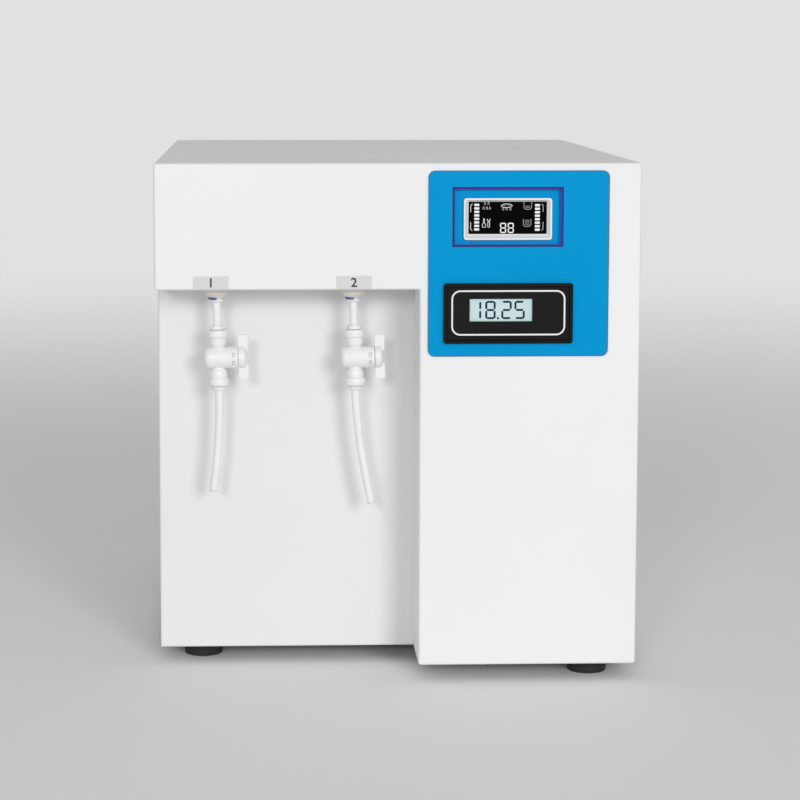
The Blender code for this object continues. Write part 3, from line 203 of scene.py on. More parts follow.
# Slot, colour, aged colour, least and greatest roughness, and what differs from the usual skin
FINISHES = {
    "white enamel": ("white_enamel", (0.855, 0.855, 0.857), (0.835, 0.835, 0.832), (0.55, 0.60), ENAMEL),
    # Same paint as the front, made darker as painted shade of the recessed alcove.
    "alcove enamel painted shade": ("white_enamel", (0.815, 0.815, 0.817), (0.797, 0.797, 0.795), (0.55, 0.60), ENAMEL),
    "galvanised sheet": ("galvanised", grey(0.56), grey(0.50), (0.34, 0.46), dict(drift=20.0, Metallic=0.9)),
    "foot rubber": (
        "rubber", grey(0.015), (0.022, 0.0215, 0.021), (0.72, 0.9),
        dict(drift=45.0, grain=1500.0, height=0.00005),
    ),
    "printed blue film": (
        "panel_blue", (0.0010, 0.303, 0.640), (0.0008, 0.294, 0.627), (0.38, 0.46),
        dict(FILM, drift=9.0, Specular_IOR_Level=0.03),
    ),
    "violet print": (
        "pocket_violet", (0.085, 0.016, 0.255), (0.076, 0.015, 0.235), (0.42, 0.52),
        dict(FILM, Specular_IOR_Level=0.08),
    ),
    # Darker grey for the outer half of the bezel's inner slopes: painted shade of the step.
    "bezel painted shade grey": (
        "bezel_white", grey(0.66), grey(0.63), (0.34, 0.44),
        dict(grain=1600.0, height=0.00001, Specular_IOR_Level=0.3),
    ),
    "bezel white": (
        "bezel_white", grey(0.84), (0.81, 0.81, 0.80), (0.34, 0.44), dict(grain=1600.0, height=0.00001),
    ),
    "display black": (
        "display_black", grey(0.0015), grey(0.0020), (0.08, 0.14),
        dict(grain=300.0, height=0.000002, Specular_IOR_Level=0.03),
    ),
    "meter black": (
        "meter_black", grey(0.0065), grey(0.0085), (0.42, 0.55), dict(grain=2200.0, Specular_IOR_Level=0.08),
    ),
    "liquid crystal": (
        "meter_glass", (0.578, 0.738, 0.755), (0.552, 0.712, 0.732), (0.10, 0.18),
        dict(drift=30.0, grain=400.0, height=0.000003, Coat_Weight=0.4, Coat_Roughness=0.05),
    ),
    "dark segment": (
        "meter_black", (0.0035, 0.0215, 0.040), (0.0045, 0.0245, 0.045), (0.3, 0.4),
        dict(grain=2000.0, Specular_IOR_Level=0.1),
    ),
    "white print and painted highlight": ("bezel_white", grey(0.86), grey(0.82), (0.4, 0.5), PRINT),
    "pale print": ("bezel_white", grey(0.72), grey(0.68), (0.4, 0.5), PRINT),
    "grey print": ("bezel_white", grey(0.40), grey(0.36), (0.4, 0.5), PRINT),
    # Dark tone for the line round the plate's rim: painted shade of its edge.
    "painted edge shade dark": ("panel_blue", (0.055, 0.035, 0.030), (0.070, 0.045, 0.038), (0.4, 0.5), PRINT),
    "label film": ("galvanised", grey(0.665), grey(0.64), (0.32, 0.42), dict(grain=2500.0, height=0.00001)),
    "label ink": ("meter_black", grey(0.012), grey(0.02), (0.4, 0.5), PRINT),
    "moulded acetal": (
        "fitting_white", (0.865, 0.855, 0.862), (0.835, 0.825, 0.832), (0.22, 0.32),
        dict(MOULDING, Subsurface_Weight=0.06, Subsurface_Scale=0.002),
    ),
    "grey moulded mark": ("fitting_white", grey(0.40), grey(0.36), (0.35, 0.45), dict(grain=1400.0)),
    "ivory acetal": ("fitting_ivory", (0.80, 0.755, 0.70), (0.765, 0.715, 0.655), (0.34, 0.46), MOULDING),
    "clip blue": ("clip_blue", (0.078, 0.125, 0.352), (0.070, 0.112, 0.320), (0.36, 0.46), dict(grain=1500.0)),
    "polyethylene tube": (
        "tube_white", (0.875, 0.862, 0.868), (0.850, 0.836, 0.842), (0.26, 0.36),
        dict(drift=40.0, grain=500.0, height=0.00001, Subsurface_Weight=0.1, Subsurface_Scale=0.002),
    ),
    "cartridge white": (None, (0.74, 0.76, 0.79), (0.70, 0.72, 0.75), (0.36, 0.48), dict(grain=1100.0)),
    "motor black": (
        None, grey(0.025), grey(0.035), (0.4, 0.55), dict(grain=1200.0, height=0.00003, Metallic=0.2),
    ),
    "zinc case": (None, grey(0.56), grey(0.47), (0.34, 0.48), dict(drift=80.0, Metallic=0.9)),
    "switch black": (
        "switch_black", grey(0.0105), grey(0.014), (0.34, 0.46), dict(grain=2600.0, height=0.00003),
    ),
    "solder mask": (
        None, (0.010, 0.115, 0.042), (0.014, 0.150, 0.060), (0.26, 0.38), dict(drift=260.0, grain=1800.0),
    ),
    "screw steel": ("galvanised", grey(0.62), grey(0.52), (0.24, 0.36), dict(drift=400.0, Metallic=1.0)),
    "nickel brass": (
        "galvanised", (0.60, 0.56, 0.46), (0.52, 0.48, 0.38), (0.2, 0.34), dict(drift=300.0, Metallic=1.0),
    ),
}


def finish(name, colour, aged, roughness, drift=12.0, grain=900.0, height=0.00002, waviness=0.3, **fixed):
    """Principled material whose colour, roughness and relief come from the shared groups."""
    material = bpy.data.materials.new(name)
    material.use_nodes = True
    tree = material.node_tree
    shader = tree.nodes["Principled BSDF"]
    for label, value in fixed.items():
        shader.inputs[label.replace("_", " ")].default_value = value
    tints = {"Base": (*colour, 1.0), "Aged": (*aged, 1.0)}
    tone = add(
        tree, "Group", dict(tints, Scale=drift, Smooth=roughness[0], Rough=roughness[1]), node_tree=tone_group,
    )
    relief = add(tree, "Group", dict(Scale=grain, Height=height, Waviness=waviness), node_tree=grain_group)
    join(
        tree,
        (tone, "Color", shader, "Base Color"), (tone, "Roughness", shader, "Roughness"),
        (relief, "Normal", shader, "Normal"),
    )
    material.diffuse_color = (*colour, 1.0)
    return material


def add_spangle(material):
    """Flat crystals of the zinc coat, each with its own tone."""
    tree = material.node_tree
    shader = tree.nodes["Principled BSDF"]
    place = add(tree, "TexCoord")
    crystals = add(tree, "TexVoronoi", {"Scale": 140.0, "Randomness": 1.0})
    tone = add(tree, "MapRange", {"To Min": 0.38, "To Max": 0.62})
    join(
        tree,
        (place, "Object", crystals, "Vector"), (crystals, "Color", tone, "Value"),
        (tone, "Result", shader, "Base Color"),
    )


looks = {
    name: finish(name, colour, aged, roughness, **skin)
    for name, (slot, colour, aged, roughness, skin) in FINISHES.items()
}
add_spangle(looks["galvanised sheet"])


# Mesh tools

def at(x, y, z):
    return Matrix.Translation((x, y, z))


def placed(name, data):
    """New object in the scene."""
    thing = bpy.data.objects.new(name, data)
    bpy.context.scene.collection.objects.link(thing)
    return thing


def baked(shape, name="part"):
    """Mesh data made from a shape, which it uses up."""
    mesh = bpy.data.meshes.new(name)
    shape.to_mesh(mesh)
    shape.free()
    return mesh


def welded(shape):
    bmesh.ops.remove_doubles(shape, verts=shape.verts, dist=weld)
    return shape


def turned_out(shape):
    """The shape with its normals outwards."""
    bmesh.ops.recalc_face_normals(shape, faces=shape.faces)
    return shape


def moved(shape, x, y, z):
    shape.transform(at(x, y, z))
    return shape


def keep(name, shape, look, body="cabinet", replaces=None, place=None, second=None):
    """Finished piece at the origin: shaded, with its material, riding on its body."""
    if place is not None:
        shape.transform(place)
    mesh = baked(shape, name)
    mesh.shade_smooth()
    mesh.set_sharp_from_angle(angle=smooth_limit)
    piece = placed(name, mesh)
    mesh.materials.append(looks[look])
    if second:
        mesh.materials.append(looks[second])
    weighted = piece.modifiers.new("flat faces", "WEIGHTED_NORMAL")
    weighted.keep_sharp = True
    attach(piece, body)
    if replaces:
        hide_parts(replaces)
    return piece


def soften(shape, width, limit=sharp_edge, steps=edge_steps, only=None):
    """Round the edges that turn more than the limit."""
    edges = [
        edge for edge in shape.edges
        if len(edge.link_faces) == 2 and edge.calc_face_angle() > limit and (only is None or only(edge))
    ]
    bmesh.ops.bevel(
        shape, geom=edges, offset=width, offset_type="OFFSET", segments=steps, profile=round_profile,
        affect="EDGES", clamp_overlap=True, material=-1,
    )
    return shape


def spun(profile, steps=round_steps, axis="Z"):
    """Solid of revolution from (radius, height) points, closed on itself unless it starts on the axis."""
    shape = bmesh.new()
    points = [shape.verts.new((radius, 0, height)) for radius, height in profile]
    chain = points if profile[0][0] == 0 else points + points[:1]
    edges = [shape.edges.new(pair) for pair in zip(chain, chain[1:])]
    bmesh.ops.spin(
        shape, geom=points + edges, axis=(0, 0, 1), cent=(0, 0, 0), angle=math.tau, steps=steps,
        use_merge=True,
    )
    turned_out(welded(shape))
    turns = {"X": (math.pi / 2, 3, "Y"), "Y": (-math.pi / 2, 3, "X")}
    if axis in turns:
        bmesh.ops.rotate(shape, verts=shape.verts, cent=(0, 0, 0), matrix=Matrix.Rotation(*turns[axis]))
    return shape


def rounded_sheet(width, height, corner, steps):
    """Flat rounded rectangle in the XZ plane round the origin."""
    shape = bmesh.new()
    bmesh.ops.create_grid(
        shape, x_segments=1, y_segments=1, size=0.5,
        matrix=Matrix.Rotation(math.pi / 2, 4, "X") @ Matrix.Diagonal((width, height, 1, 1)),
    )
    if corner:
        bmesh.ops.bevel(
            shape, geom=shape.verts[:], offset=corner, offset_type="OFFSET", segments=steps,
            profile=round_profile, affect="VERTICES", material=-1,
        )
    return shape


def thickened(shape, thickness):
    """Push a flat shape in the XZ plane back along +Y into a closed plate."""
    grown = bmesh.ops.extrude_face_region(shape, geom=shape.faces[:], use_keep_orig=True)
    moving = [part for part in grown["geom"] if isinstance(part, bmesh.types.BMVert)]
    bmesh.ops.translate(shape, verts=moving, vec=(0, thickness, 0))
    return turned_out(shape)


def slab(width, height, corner, thickness, steps=6):
    """Rounded plate in the XZ plane; its face lies at y 0 and its back at +thickness."""
    return thickened(rounded_sheet(width, height, corner, steps), thickness)


def ring(width, height, corner, line, thickness, steps=10):
    """Rounded rectangular line of the given breadth, as a thin plate."""
    shape = rounded_sheet(width, height, corner, steps)
    middle = shape.faces[:]
    bmesh.ops.inset_region(shape, faces=middle, thickness=line, use_even_offset=True, use_boundary=True)
    bmesh.ops.delete(shape, geom=middle, context="FACES")
    return thickened(shape, thickness)


def merged(shape, other, operation="UNION"):
    """Boolean of two shapes, as a new one."""
    target, tool = placed("part", baked(shape)), placed("part", baked(other))
    modifier = target.modifiers.new("join", "BOOLEAN")
    modifier.operation = operation
    modifier.solver = "EXACT"
    modifier.object = tool
    result = bmesh.new()
    result.from_object(target, bpy.context.evaluated_depsgraph_get())
    for thing in (target, tool):
        bpy.data.meshes.remove(thing.data)
    return welded(result)


def cut(shape, tool):
    return merged(shape, tool, "DIFFERENCE")


def gathered(shapes):
    """Several separate shapes in one mesh."""
    total = bmesh.new()
    for shape in shapes:
        mesh = baked(shape)
        total.from_mesh(mesh)
        bpy.data.meshes.remove(mesh)
    return total


def trimmed(node, width, steps=2, limit=fold_edge):
    """Merged copy of a CAD node's mesh, its flat faces whole again and its edges broken."""
    shape = bmesh.new()
    shape.from_mesh(nodes[node].data)
    welded(shape)
    bmesh.ops.dissolve_limit(
        shape, angle_limit=flat_limit, verts=shape.verts, edges=shape.edges, use_dissolve_boundaries=False,
    )
    return soften(shape, width, limit, steps)


def mesh_of(curve):
    """Curve or text turned into a welded mesh, which takes its place."""
    thing = placed("drawn", curve)
    graph = bpy.context.evaluated_depsgraph_get()
    mesh = bpy.data.meshes.new_from_object(thing.evaluated_get(graph))
    shape = bmesh.new()
    shape.from_mesh(mesh)
    bpy.data.curves.remove(curve)
    bpy.data.meshes.remove(mesh)
    return welded(shape)


def wire(points, radius, resolution, capped=True):
    """Tube through the points, as a mesh."""
    curve = bpy.data.curves.new("wire", "CURVE")
    curve.dimensions = "3D"
    curve.bevel_depth = radius
    curve.bevel_resolution = resolution
    curve.use_fill_caps = capped
    spline = curve.splines.new("POLY")
    spline.points.add(len(points) - 1)
    for target, point in zip(spline.points, points):
        target.co = (*point, 1)
    return turned_out(mesh_of(curve))


# Sheet-metal shell

def build_shell():
    """Painted and galvanised sheets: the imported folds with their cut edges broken."""
    for node, name, look in (
        ("front_fascia", "front_shell", "white enamel"),
        ("wrap_cover", "wrapped_cover", "white enamel"),
        ("rear_panel", "slotted_rear", "white enamel"),
        ("base_pan", "floor_tray", "galvanised sheet"),
    ):
        keep(name, trimmed(node, sheet_arris), look, replaces=node)


def build_alcove():
    """Back wall of the alcove: a tray bent at its free sides and butted to the head and the column."""
    low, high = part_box("alcove_panel")
    width = high.x + seat_gap - low.x
    height = high.z + seat_gap - low.z
    depth = high.y - low.y

    def is_free(edge):
        ends = [vert.co for vert in edge.verts]
        at_left = all(end.x < weld - width / 2 for end in ends)
        at_foot = all(end.z < weld - height / 2 for end in ends)
        return all(end.y < weld for end in ends) and (at_left or at_foot)

    tray = soften(slab(width, height, 0, depth), sheet_bend, steps=4, only=is_free)
    hollow = moved(slab(width - 2 * sheet, height - 2 * sheet, 0, depth), 0, sheet, 0)
    # The alcove back takes the darker enamel: painted shade of the recess.
    keep(
        "alcove_back", cut(tray, hollow), "alcove enamel painted shade", replaces="alcove_panel",
        place=at(low.x + width / 2, low.y, low.z + height / 2),
    )


# Feet: the tread from its hollow out to the widest ring, then the shoulder and the barbed stud
foot_tread = [
    (0, 0.0050), (0.0060, 0.0050), (0.0060, 0), (0.0145, 0), (0.0151, 0.0040), (0.0146, 0.0046),
    (0.0147, 0.0054), (0.0154, 0.0060),
]
foot_shoulder = 0.0117
foot_chamfer = 0.0012
foot_arris = 0.0004
stud_radius = 0.0040
barb_radius = 0.0052
barb_tip_radius = 0.0036
barb_height = 0.0040


def build_feet():
    """Tapered rubber feet with a rounded tread."""
    for corner in ("front_left", "front_right", "rear_left", "rear_right"):
        low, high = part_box(f"{corner}_foot")
        centre = (low + high) / 2
        reach = (high.x - low.x) / 2
        shoulder = cad_box[0].z + foot_shoulder
        barb = high.z - barb_height
        profile = foot_tread + [
            (reach, shoulder - foot_chamfer), (reach - foot_chamfer, shoulder), (stud_radius, shoulder),
            (stud_radius, barb), (barb_radius, barb), (barb_tip_radius, high.z), (0, high.z),
        ]
        keep(
            f"{corner}_rubber_foot", soften(spun(profile), foot_arris), "foot rubber",
            replaces=f"{corner}_foot", place=at(centre.x, centre.y, 0),
        )


# Control panel

plate_corner = 0.0050
plate_arris = 0.00025
margin_reach = 0.0017
margin_thickness = 0.0001
edge_line = 0.00045
edge_line_inset = 0.0003
opening_room = 0.0003
opening_cut = 0.01
pocket_case = (0.0815, 0.0436)
pocket_wall = 0.0013
pocket_corner = 0.0003
lining_set_back = 0.0002
meter_hole = (0.0900, 0.0400)


def build_control_panel():
    """Printed plate with a white margin round it as a painted highlight, and a dark line round its rim as painted
    shade of its edge.
    """
    size = panel_high - panel_low
    centre = (panel_low + panel_high) / 2
    plate = soften(slab(size.x, size.z, plate_corner, size.y, steps=12), plate_arris)
    for hole, node in ((pocket_case, "display_pocket_floor"), (meter_hole, "meter_case")):
        spot = middle_of(node)
        cutter = slab(hole[0] + 2 * opening_room, hole[1] + 2 * opening_room, 0, opening_cut)
        plate = cut(plate, moved(cutter, spot.x - centre.x, -opening_cut / 2, spot.z - centre.z))
    keep(
        "blue_panel", plate, "printed blue film", replaces="control_panel_plate",
        place=at(centre.x, panel_low.y, centre.z),
    )
    # Dark line just inside the plate's rim: painted shade of its edge.
    rim = ring(
        size.x - 2 * edge_line_inset, size.z - 2 * edge_line_inset, plate_corner - edge_line_inset, edge_line,
        print_thickness,
    )
    keep("panel_rim_painted_shade", rim, "painted edge shade dark", place=at(centre.x, panel_low.y - print_height, centre.z))
    # White margin round the plate: painted highlight of its edge.
    highlight_margin = ring(
        size.x + 2 * margin_reach, size.z + 2 * margin_reach, plate_corner + margin_reach, 2 * margin_reach,
        margin_thickness,
    )
    keep(
        "panel_painted_highlight_margin", highlight_margin, "white print and painted highlight",
        place=at(centre.x, front_y - margin_thickness, centre.z),
    )


def build_display_housing():
    """Violet pocket with its blue lining and floor, and the dark glass."""
    for node, name, look in (
        ("display_pocket_frame", "violet_pocket", "violet print"),
        ("display_pocket_floor", "pocket_back", "printed blue film"),
        ("display_glass", "dark_glass", "display black"),
    ):
        keep(name, trimmed(node, moulded_arris), look, replaces=node)
    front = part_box("display_pocket_frame")[0].y + lining_set_back
    centre = middle_of("display_pocket_floor")
    lap = pocket_wall - print_sink
    lining = ring(
        pocket_case[0] - 2 * lap, pocket_case[1] - 2 * lap, pocket_corner, print_thickness,
        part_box("display_pocket_floor")[0].y - front, steps=2,
    )
    keep("pocket_lining", lining, "printed blue film", place=at(centre.x, front, centre.z))


bezel_rim = 0.0013
bezel_rim_share = 0.8
bezel_step = 0.0015
bezel_skin = 0.0001
least_slope = 0.1


def build_bezel():
    """White bezel; the outer half of its sloping inner walls takes a darker grey, painted shade of its inner step.
    """
    shape = trimmed("display_bezel", moulded_arris)
    low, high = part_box("display_bezel")
    bmesh.ops.bisect_plane(
        shape, geom=shape.verts[:] + shape.edges[:] + shape.faces[:], dist=weld,
        plane_co=(0, low.y + bezel_step, 0), plane_no=(0, 1, 0),
    )
    inset = bezel_rim * bezel_rim_share
    for face in shape.faces:
        spot = face.calc_center_median()
        inside = low.x + inset < spot.x < high.x - inset and low.z + inset < spot.z < high.z - inset
        outer_half = low.y + bezel_skin < spot.y < low.y + bezel_step
        # Faces on the outer half of the inner slopes take the grey: painted shade.
        if inside and outer_half and face.normal.y < -least_slope:
            face.material_index = 1
    keep("white_bezel", shape, "bezel white", replaces="display_bezel", second="bezel painted shade grey")


# Prints on the display, in metres across and up from the middle of its glass

bar_size = (0.00367, 0.00168)
bar_corner = 0.0003
bar_count = 8
bar_pitch = 0.00259
bar_tops = ((-0.0229, 0.0096), (0.0221, 0.0093))
digit_size = (0.0045, 0.0077, 0.00088)
digit_places = ((-0.0033, -0.0075), (0.0024, -0.0075))
# How far a segment's upright stands off the middle bar, how much it is trimmed, and how its corners are cut
digit_shares = (0.22, 0.3, 0.42)
SEGMENTS = {"1": "bc", "2": "abged", "5": "afgcd", "8": "abcdefg"}
# Each row of drops: where they stand across, how far up, and the size of one
upper_drops = (
    ((-0.0169, -0.0142), 0.0106, (0.00115, 0.0022)),
    ((-0.0179, -0.0154, -0.0132), 0.0072, (0.00115, 0.0023)),
)
cloud_drops = (
    ((-0.0023, 0.0008), 0.0097, (0.0012, 0.0019)),
    ((-0.0033, -0.0007, 0.0020), 0.0065, (0.0012, 0.0019)),
)
drop_neck_shares = (0.6, 0.2)
drop_body_shares = (0.84, 0.25, 0.08)
cloud_middle = (-0.0007, 0.0089)
cloud_radius = 0.0040
cloud_flatness = 0.33
# Thermometer: its stem and its bulb
stem = (0.0010, 0.0040, 0.0003, (-0.0175, -0.0024))
bulb = ((-0.0175, -0.0056), 0.0028, 0.0033)
# Probe: two prongs, each from a fork's tip in to its root, and the body under them
probe_x = -0.0140
prong = ((0.0011, -0.0008), (0.0009, -0.0018), (0.0, -0.0030))
probe_body = ((-0.0140, -0.0050), 0.0018, 0.0044)
bracket_places = (-0.0274, 0.0263)
bracket_ends = ((0.0101, 0.0043), (-0.0092, -0.0030))
bracket_hook = 0.0013
beakers = (((0.0149, 0.0089), 0.0056, 0.0052, 2), ((0.0145, -0.0037), 0.0056, 0.0054, 4))
# Lip's reach, height of the neck, chamfer, first level, step of the levels and their reach
beaker_shares = (1.12, 0.8, 0.2, 0.5, 0.2, 0.62)
outline_stroke = 0.00042
level_stroke = 0.0003
symbol_stroke = 0.0005
prong_stroke = 0.0006
ring_line = 0.00045
ring_corner_share = 0.3


def print_plate(width, height, corner, centre, steps=3):
    """Small printed patch that stands print_height proud of what carries it."""
    return moved(slab(width, height, corner, print_thickness, steps), centre[0], -print_height, centre[1])


def print_stroke(points, width):
    """Drawn line: a round wire through the points, pressed flat."""
    shape = wire([(across, 0, up) for across, up in points], width / 2, resolution=2)
    pressed = Matrix.Diagonal((1, print_thickness / width, 1, 1))
    shape.transform(at(0, (print_sink - print_height) / 2, 0) @ pressed)
    return shape


def print_ring(centre, width, height):
    shape = ring(width, height, width * ring_corner_share, ring_line, print_thickness, steps=3)
    return moved(shape, centre[0], -print_height, centre[1])


def arc(centre, radius, start, end, steps=10, stretch=1.0):
    """Points along an arc, its angles in degrees anticlockwise from the right."""
    spots = []
    for step in range(steps + 1):
        angle = math.radians(start + (end - start) * step / steps)
        spots.append((centre[0] + radius * math.cos(angle), centre[1] + radius * stretch * math.sin(angle)))
    return spots


def digit(figure, width, height, stroke, centre):
    """Seven-segment figure of bars with cut corners; the uprights stand clear of each other."""
    spread, trim, corner = (stroke * share for share in digit_shares)
    half = (height - stroke) / 2
    across = (width - stroke) / 2
    rise = half / 2 + spread
    spots = {
        "a": (0, half, 0), "g": (0, 0, 0), "d": (0, -half, 0), "f": (-across, rise, 1),
        "b": (across, rise, 1), "e": (-across, -rise, 1), "c": (across, -rise, 1),
    }
    bars = []
    for letter in SEGMENTS[figure]:
        side, up, upright = spots[letter]
        length = (half if upright else 2 * across) - trim
        size = (stroke, length) if upright else (length, stroke)
        bars.append(print_plate(*size, corner, (centre[0] + side, centre[1] + up), steps=1))
    return bars


def drops(rows):
    """Falling drops: each a narrow neck over a blunt body."""
    neck, neck_corner = drop_neck_shares
    tall, body_corner, sink = drop_body_shares
    made = []
    for places, up, (width, height) in rows:
        for across in places:
            made += [
                print_plate(width * neck, height, width * neck_corner, (across, up), steps=2),
                print_plate(width, height * tall, width * body_corner, (across, up - height * sink), steps=2),
            ]
    return made


def beaker(centre, width, height, lines):
    """Open vessel drawn in line, with the water's level lines in it."""
    lip, neck, bevel, first, pitch, reach = beaker_shares
    across, up = centre
    half, tall = width / 2, height / 2
    chamfer = width * bevel
    side = [
        (half * lip, up + tall), (half, up + tall * neck), (half, up - tall + chamfer), (half - chamfer, up - tall),
    ]
    outline = [(across - out, rise) for out, rise in side] + [(across + out, rise) for out, rise in reversed(side)]
    made = [print_stroke(outline, outline_stroke)]
    for step in range(lines):
        level = up - tall * first + step * height * pitch
        made.append(print_stroke([(across - half * reach, level), (across + half * reach, level)], level_stroke))
    return made


def bracket(across, side):
    """Line beside a row of bars, hooked in towards it at the top and the bottom."""
    made = []
    for tip, foot in bracket_ends:
        sign = 1 if tip > 0 else -1
        middle = (across + side * bracket_hook, tip - sign * bracket_hook)
        bend = arc(middle, bracket_hook, 90, 180 if side > 0 else 0, stretch=sign)
        made.append(print_stroke([*bend, (across, foot)], symbol_stroke))
    return made


def build_display_prints():
    """Level bars, brackets, symbols and the two figures on the dark glass."""
    centre = middle_of("display_glass")
    place = at(centre.x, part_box("display_glass")[0].y, centre.z)
    bars = []
    for across, top in bar_tops:
        for step in range(bar_count):
            bars.append(print_plate(*bar_size, bar_corner, (across, top - step * bar_pitch)))
    for spot in digit_places:
        bars += digit("8", *digit_size, spot)
    keep("display_bars_and_figures", gathered(bars), "white print and painted highlight", place=place)
    symbols = bracket(bracket_places[0], 1) + drops(upper_drops)
    cloud = arc(cloud_middle, cloud_radius, 0, 360, steps=28, stretch=cloud_flatness)
    symbols += [print_stroke(cloud, symbol_stroke), *drops(cloud_drops), print_plate(*stem), print_ring(*bulb)]
    for side in (-1, 1):
        symbols.append(print_stroke([(probe_x + side * out, up) for out, up in prong], prong_stroke))
    symbols.append(print_ring(*probe_body))
    keep("display_symbols", gathered(symbols), "pale print", place=place)
    vessels = bracket(bracket_places[1], -1)
    for vessel in beakers:
        vessels += beaker(*vessel)
    keep("display_vessels", gathered(vessels), "grey print", place=place)


# Conductivity meter

meter_line = (0.0844, 0.0336, 0.0066, 0.00115)
meter_line_rise = 0.0005
meter_arris = 0.00025
crystal_arris = 0.0001
figure_size = (0.0077, 0.0136, 0.0015)
figure_places = {"1": -0.0184, "8": -0.0077, "2": 0.0042, "5": 0.0139}
point_place = (-0.0021, -0.0061)
point_side = 0.0015
point_corner = 0.0002


def build_meter():
    """Case and printed face, the white frame line, the crystal and the reading on it."""
    for node, name in (("meter_case", "meter_housing"), ("meter_face", "meter_front")):
        keep(name, trimmed(node, meter_arris), "meter black", replaces=node)
    glass = trimmed("meter_glass", crystal_arris, steps=1)
    keep("meter_crystal", glass, "liquid crystal", replaces="meter_glass")
    face = middle_of("meter_face")
    keep(
        "meter_frame_line", ring(*meter_line, print_thickness), "white print and painted highlight",
        place=at(face.x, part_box("meter_face")[0].y - print_height, face.z + meter_line_rise),
    )
    centre = middle_of("meter_glass")
    reading = []
    for figure, across in figure_places.items():
        reading += digit(figure, *figure_size, (across, 0.0))
    reading.append(print_plate(point_side, point_side, point_corner, point_place))
    keep(
        "meter_reading", gathered(reading), "dark segment",
        place=at(centre.x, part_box("meter_glass")[0].y, centre.z),
    )


# Outlet labels

label_size = (0.0261, 0.0093)
label_corner = 0.0005
label_thickness = 0.0004
label_arris = 0.0001
label_rise = 0.0058
label_places = {"left": (0.0418, "1"), "right": (0.1474, "2")}
numeral_height = 0.0068
numeral_weight = 0.00018
type_size_share = 1.4


def numeral(figure):
    """Mesh of one numeral, its middle on the origin, facing -Y."""
    words = bpy.data.curves.new("numeral", "FONT")
    words.body = figure
    words.size = numeral_height * type_size_share
    words.extrude = print_thickness / 2
    words.offset = numeral_weight
    words.align_x = "CENTER"
    shape = mesh_of(words)
    low = min(vertex.co.y for vertex in shape.verts)
    high = max(vertex.co.y for vertex in shape.verts)
    shape.transform(Matrix.Rotation(math.pi / 2, 4, "X") @ at(0, -(low + high) / 2, 0))
    return shape


def build_labels():
    """Grey label over each outlet, with its number."""
    for side, (inset, figure) in label_places.items():
        place = at(left_x + inset, front_y - label_thickness, head_underside + label_rise)
        label = soften(slab(*label_size, label_corner, label_thickness), label_arris)
        keep(f"{side}_outlet_label", label, "label film", place=place)
        keep(
            f"{side}_outlet_number", numeral(figure), "label ink",
            place=place @ at(0, (print_sink - print_height) / 2, 0),
        )


# Outlet fittings

outlet_y = joints["left_valve_turn"]["pos_m"][1]
outlet_x = {side: middle_of(f"{side}_bulkhead").x for side in ("left", "right")}
tube_radius = 0.003175
tube_bore = 0.00215
tube_room = 0.0003
tube_stop = 0.0150
seat_radius = 0.0037
mouth_radius = 0.0049
shank_radius = 0.0075
flange_radius = 0.0094
collet_reach = 0.0055
flange_low = -0.0058
boss_low = -0.0078
clip_low, clip_high = -0.0093, -0.0082
collet_high = -0.0098
collet_low = -0.0114
collet_tip = -0.0011
clip_sweep = math.radians(200)
clip_facing = math.radians(175)
clip_arris = 0.00015
clip_steps = 40
valve_half = 0.0213
valve_mouth = 0.0244
valve_collet_reach = 0.0058
valve_collet_length = 0.0065
riser_start = 0.0096
# From the waist of a port out over its tapered collar, the groove and the nut
port_profile = [
    (0.0046, 0.0072), (0.0048, 0.0084), (0.0055, 0.0092), (0.0061, 0.0103), (0.00635, 0.0118),
    (0.0064, 0.0130), (0.0064, 0.0148), (0.0061, 0.0149), (0.0061, 0.0152), (0.0068, 0.0154),
    (0.0073, 0.0159), (0.0075, 0.0166), (0.00755, 0.0178), (0.0075, 0.0200), (0.0072, 0.0208),
    (0.0066, valve_half - 0.0002), (0.0060, valve_half), (0, valve_half),
]
barrel_left, barrel_right = -0.0103, 0.0148
barrel_radius = 0.0083
barrel_profile = [
    (0, barrel_left), (0.0042, barrel_left), (0.0058, barrel_left + 0.0003), (0.0070, barrel_left + 0.0010),
    (0.0078, barrel_left + 0.0021), (0.0082, barrel_left + 0.0036), (barrel_radius, barrel_left + 0.0056),
    (barrel_radius, barrel_right - 0.0004), (0.0080, barrel_right), (0, barrel_right),
]
port_bore = [
    (tube_bore, 0.0093), (seat_radius, 0.0093), (seat_radius, 0.0153), (mouth_radius, 0.0153),
    (mouth_radius, valve_half + overrun), (0, valve_half + overrun),
]
chamber_radius = 0.0051
hub_profile = [
    (0, 0.0151), (0.0081, 0.0151), (0.0084, 0.0154), (0.0084, 0.0181), (0.0082, 0.0192), (0.0075, 0.0202),
    (0.0062, 0.0209), (0.0044, 0.0213), (0.0022, 0.0215), (0, 0.0215),
]
stem_socket = [(0, 0.0140), (0.0027, 0.0140), (0.0027, 0.0193), (0, 0.0193)]
wing_size = (0.0076, 0.0132)
wing_corner = 0.0022
wing_thickness = 0.0030
wing_arris = 0.0005
wing_place = 0.0189
wing_rise = 0.0104
mark_size = (0.0021, 0.0033)
mark_corner_share = 0.45
mark_thickness = 0.0004
mark_line = 0.0006
mark_sink = 0.0001
mark_place = 0.0115
mark_rises = (-0.0034, 0.0026)


def bulkhead_shape():
    """Flange stepped in to its boss, the bore of the collet, and the threaded shank above."""
    top = extent("left_bulkhead").z + boss_low
    return spun([
        (mouth_radius, boss_low), (0.0058, boss_low), (0.0062, boss_low + 0.0003),
        (0.0074, flange_low - 0.0004), (0.0077, flange_low), (0.0088, flange_low), (0.0092, flange_low + 0.0002),
        (flange_radius, flange_low + 0.0006), (flange_radius, -0.0008), (0.0091, -0.0003),
        (shank_radius, -0.0003), (shank_radius, 0.0156), (0.0071, 0.0160), (0.0064, 0.0168),
        (0.0064, top - 0.0004), (0.0060, top), (seat_radius, top), (seat_radius, top - tube_stop),
        (tube_bore, top - tube_stop), (tube_bore, collet_low + tube_stop), (seat_radius, collet_low + tube_stop),
        (seat_radius, -0.0006), (mouth_radius, -0.0006),
    ])


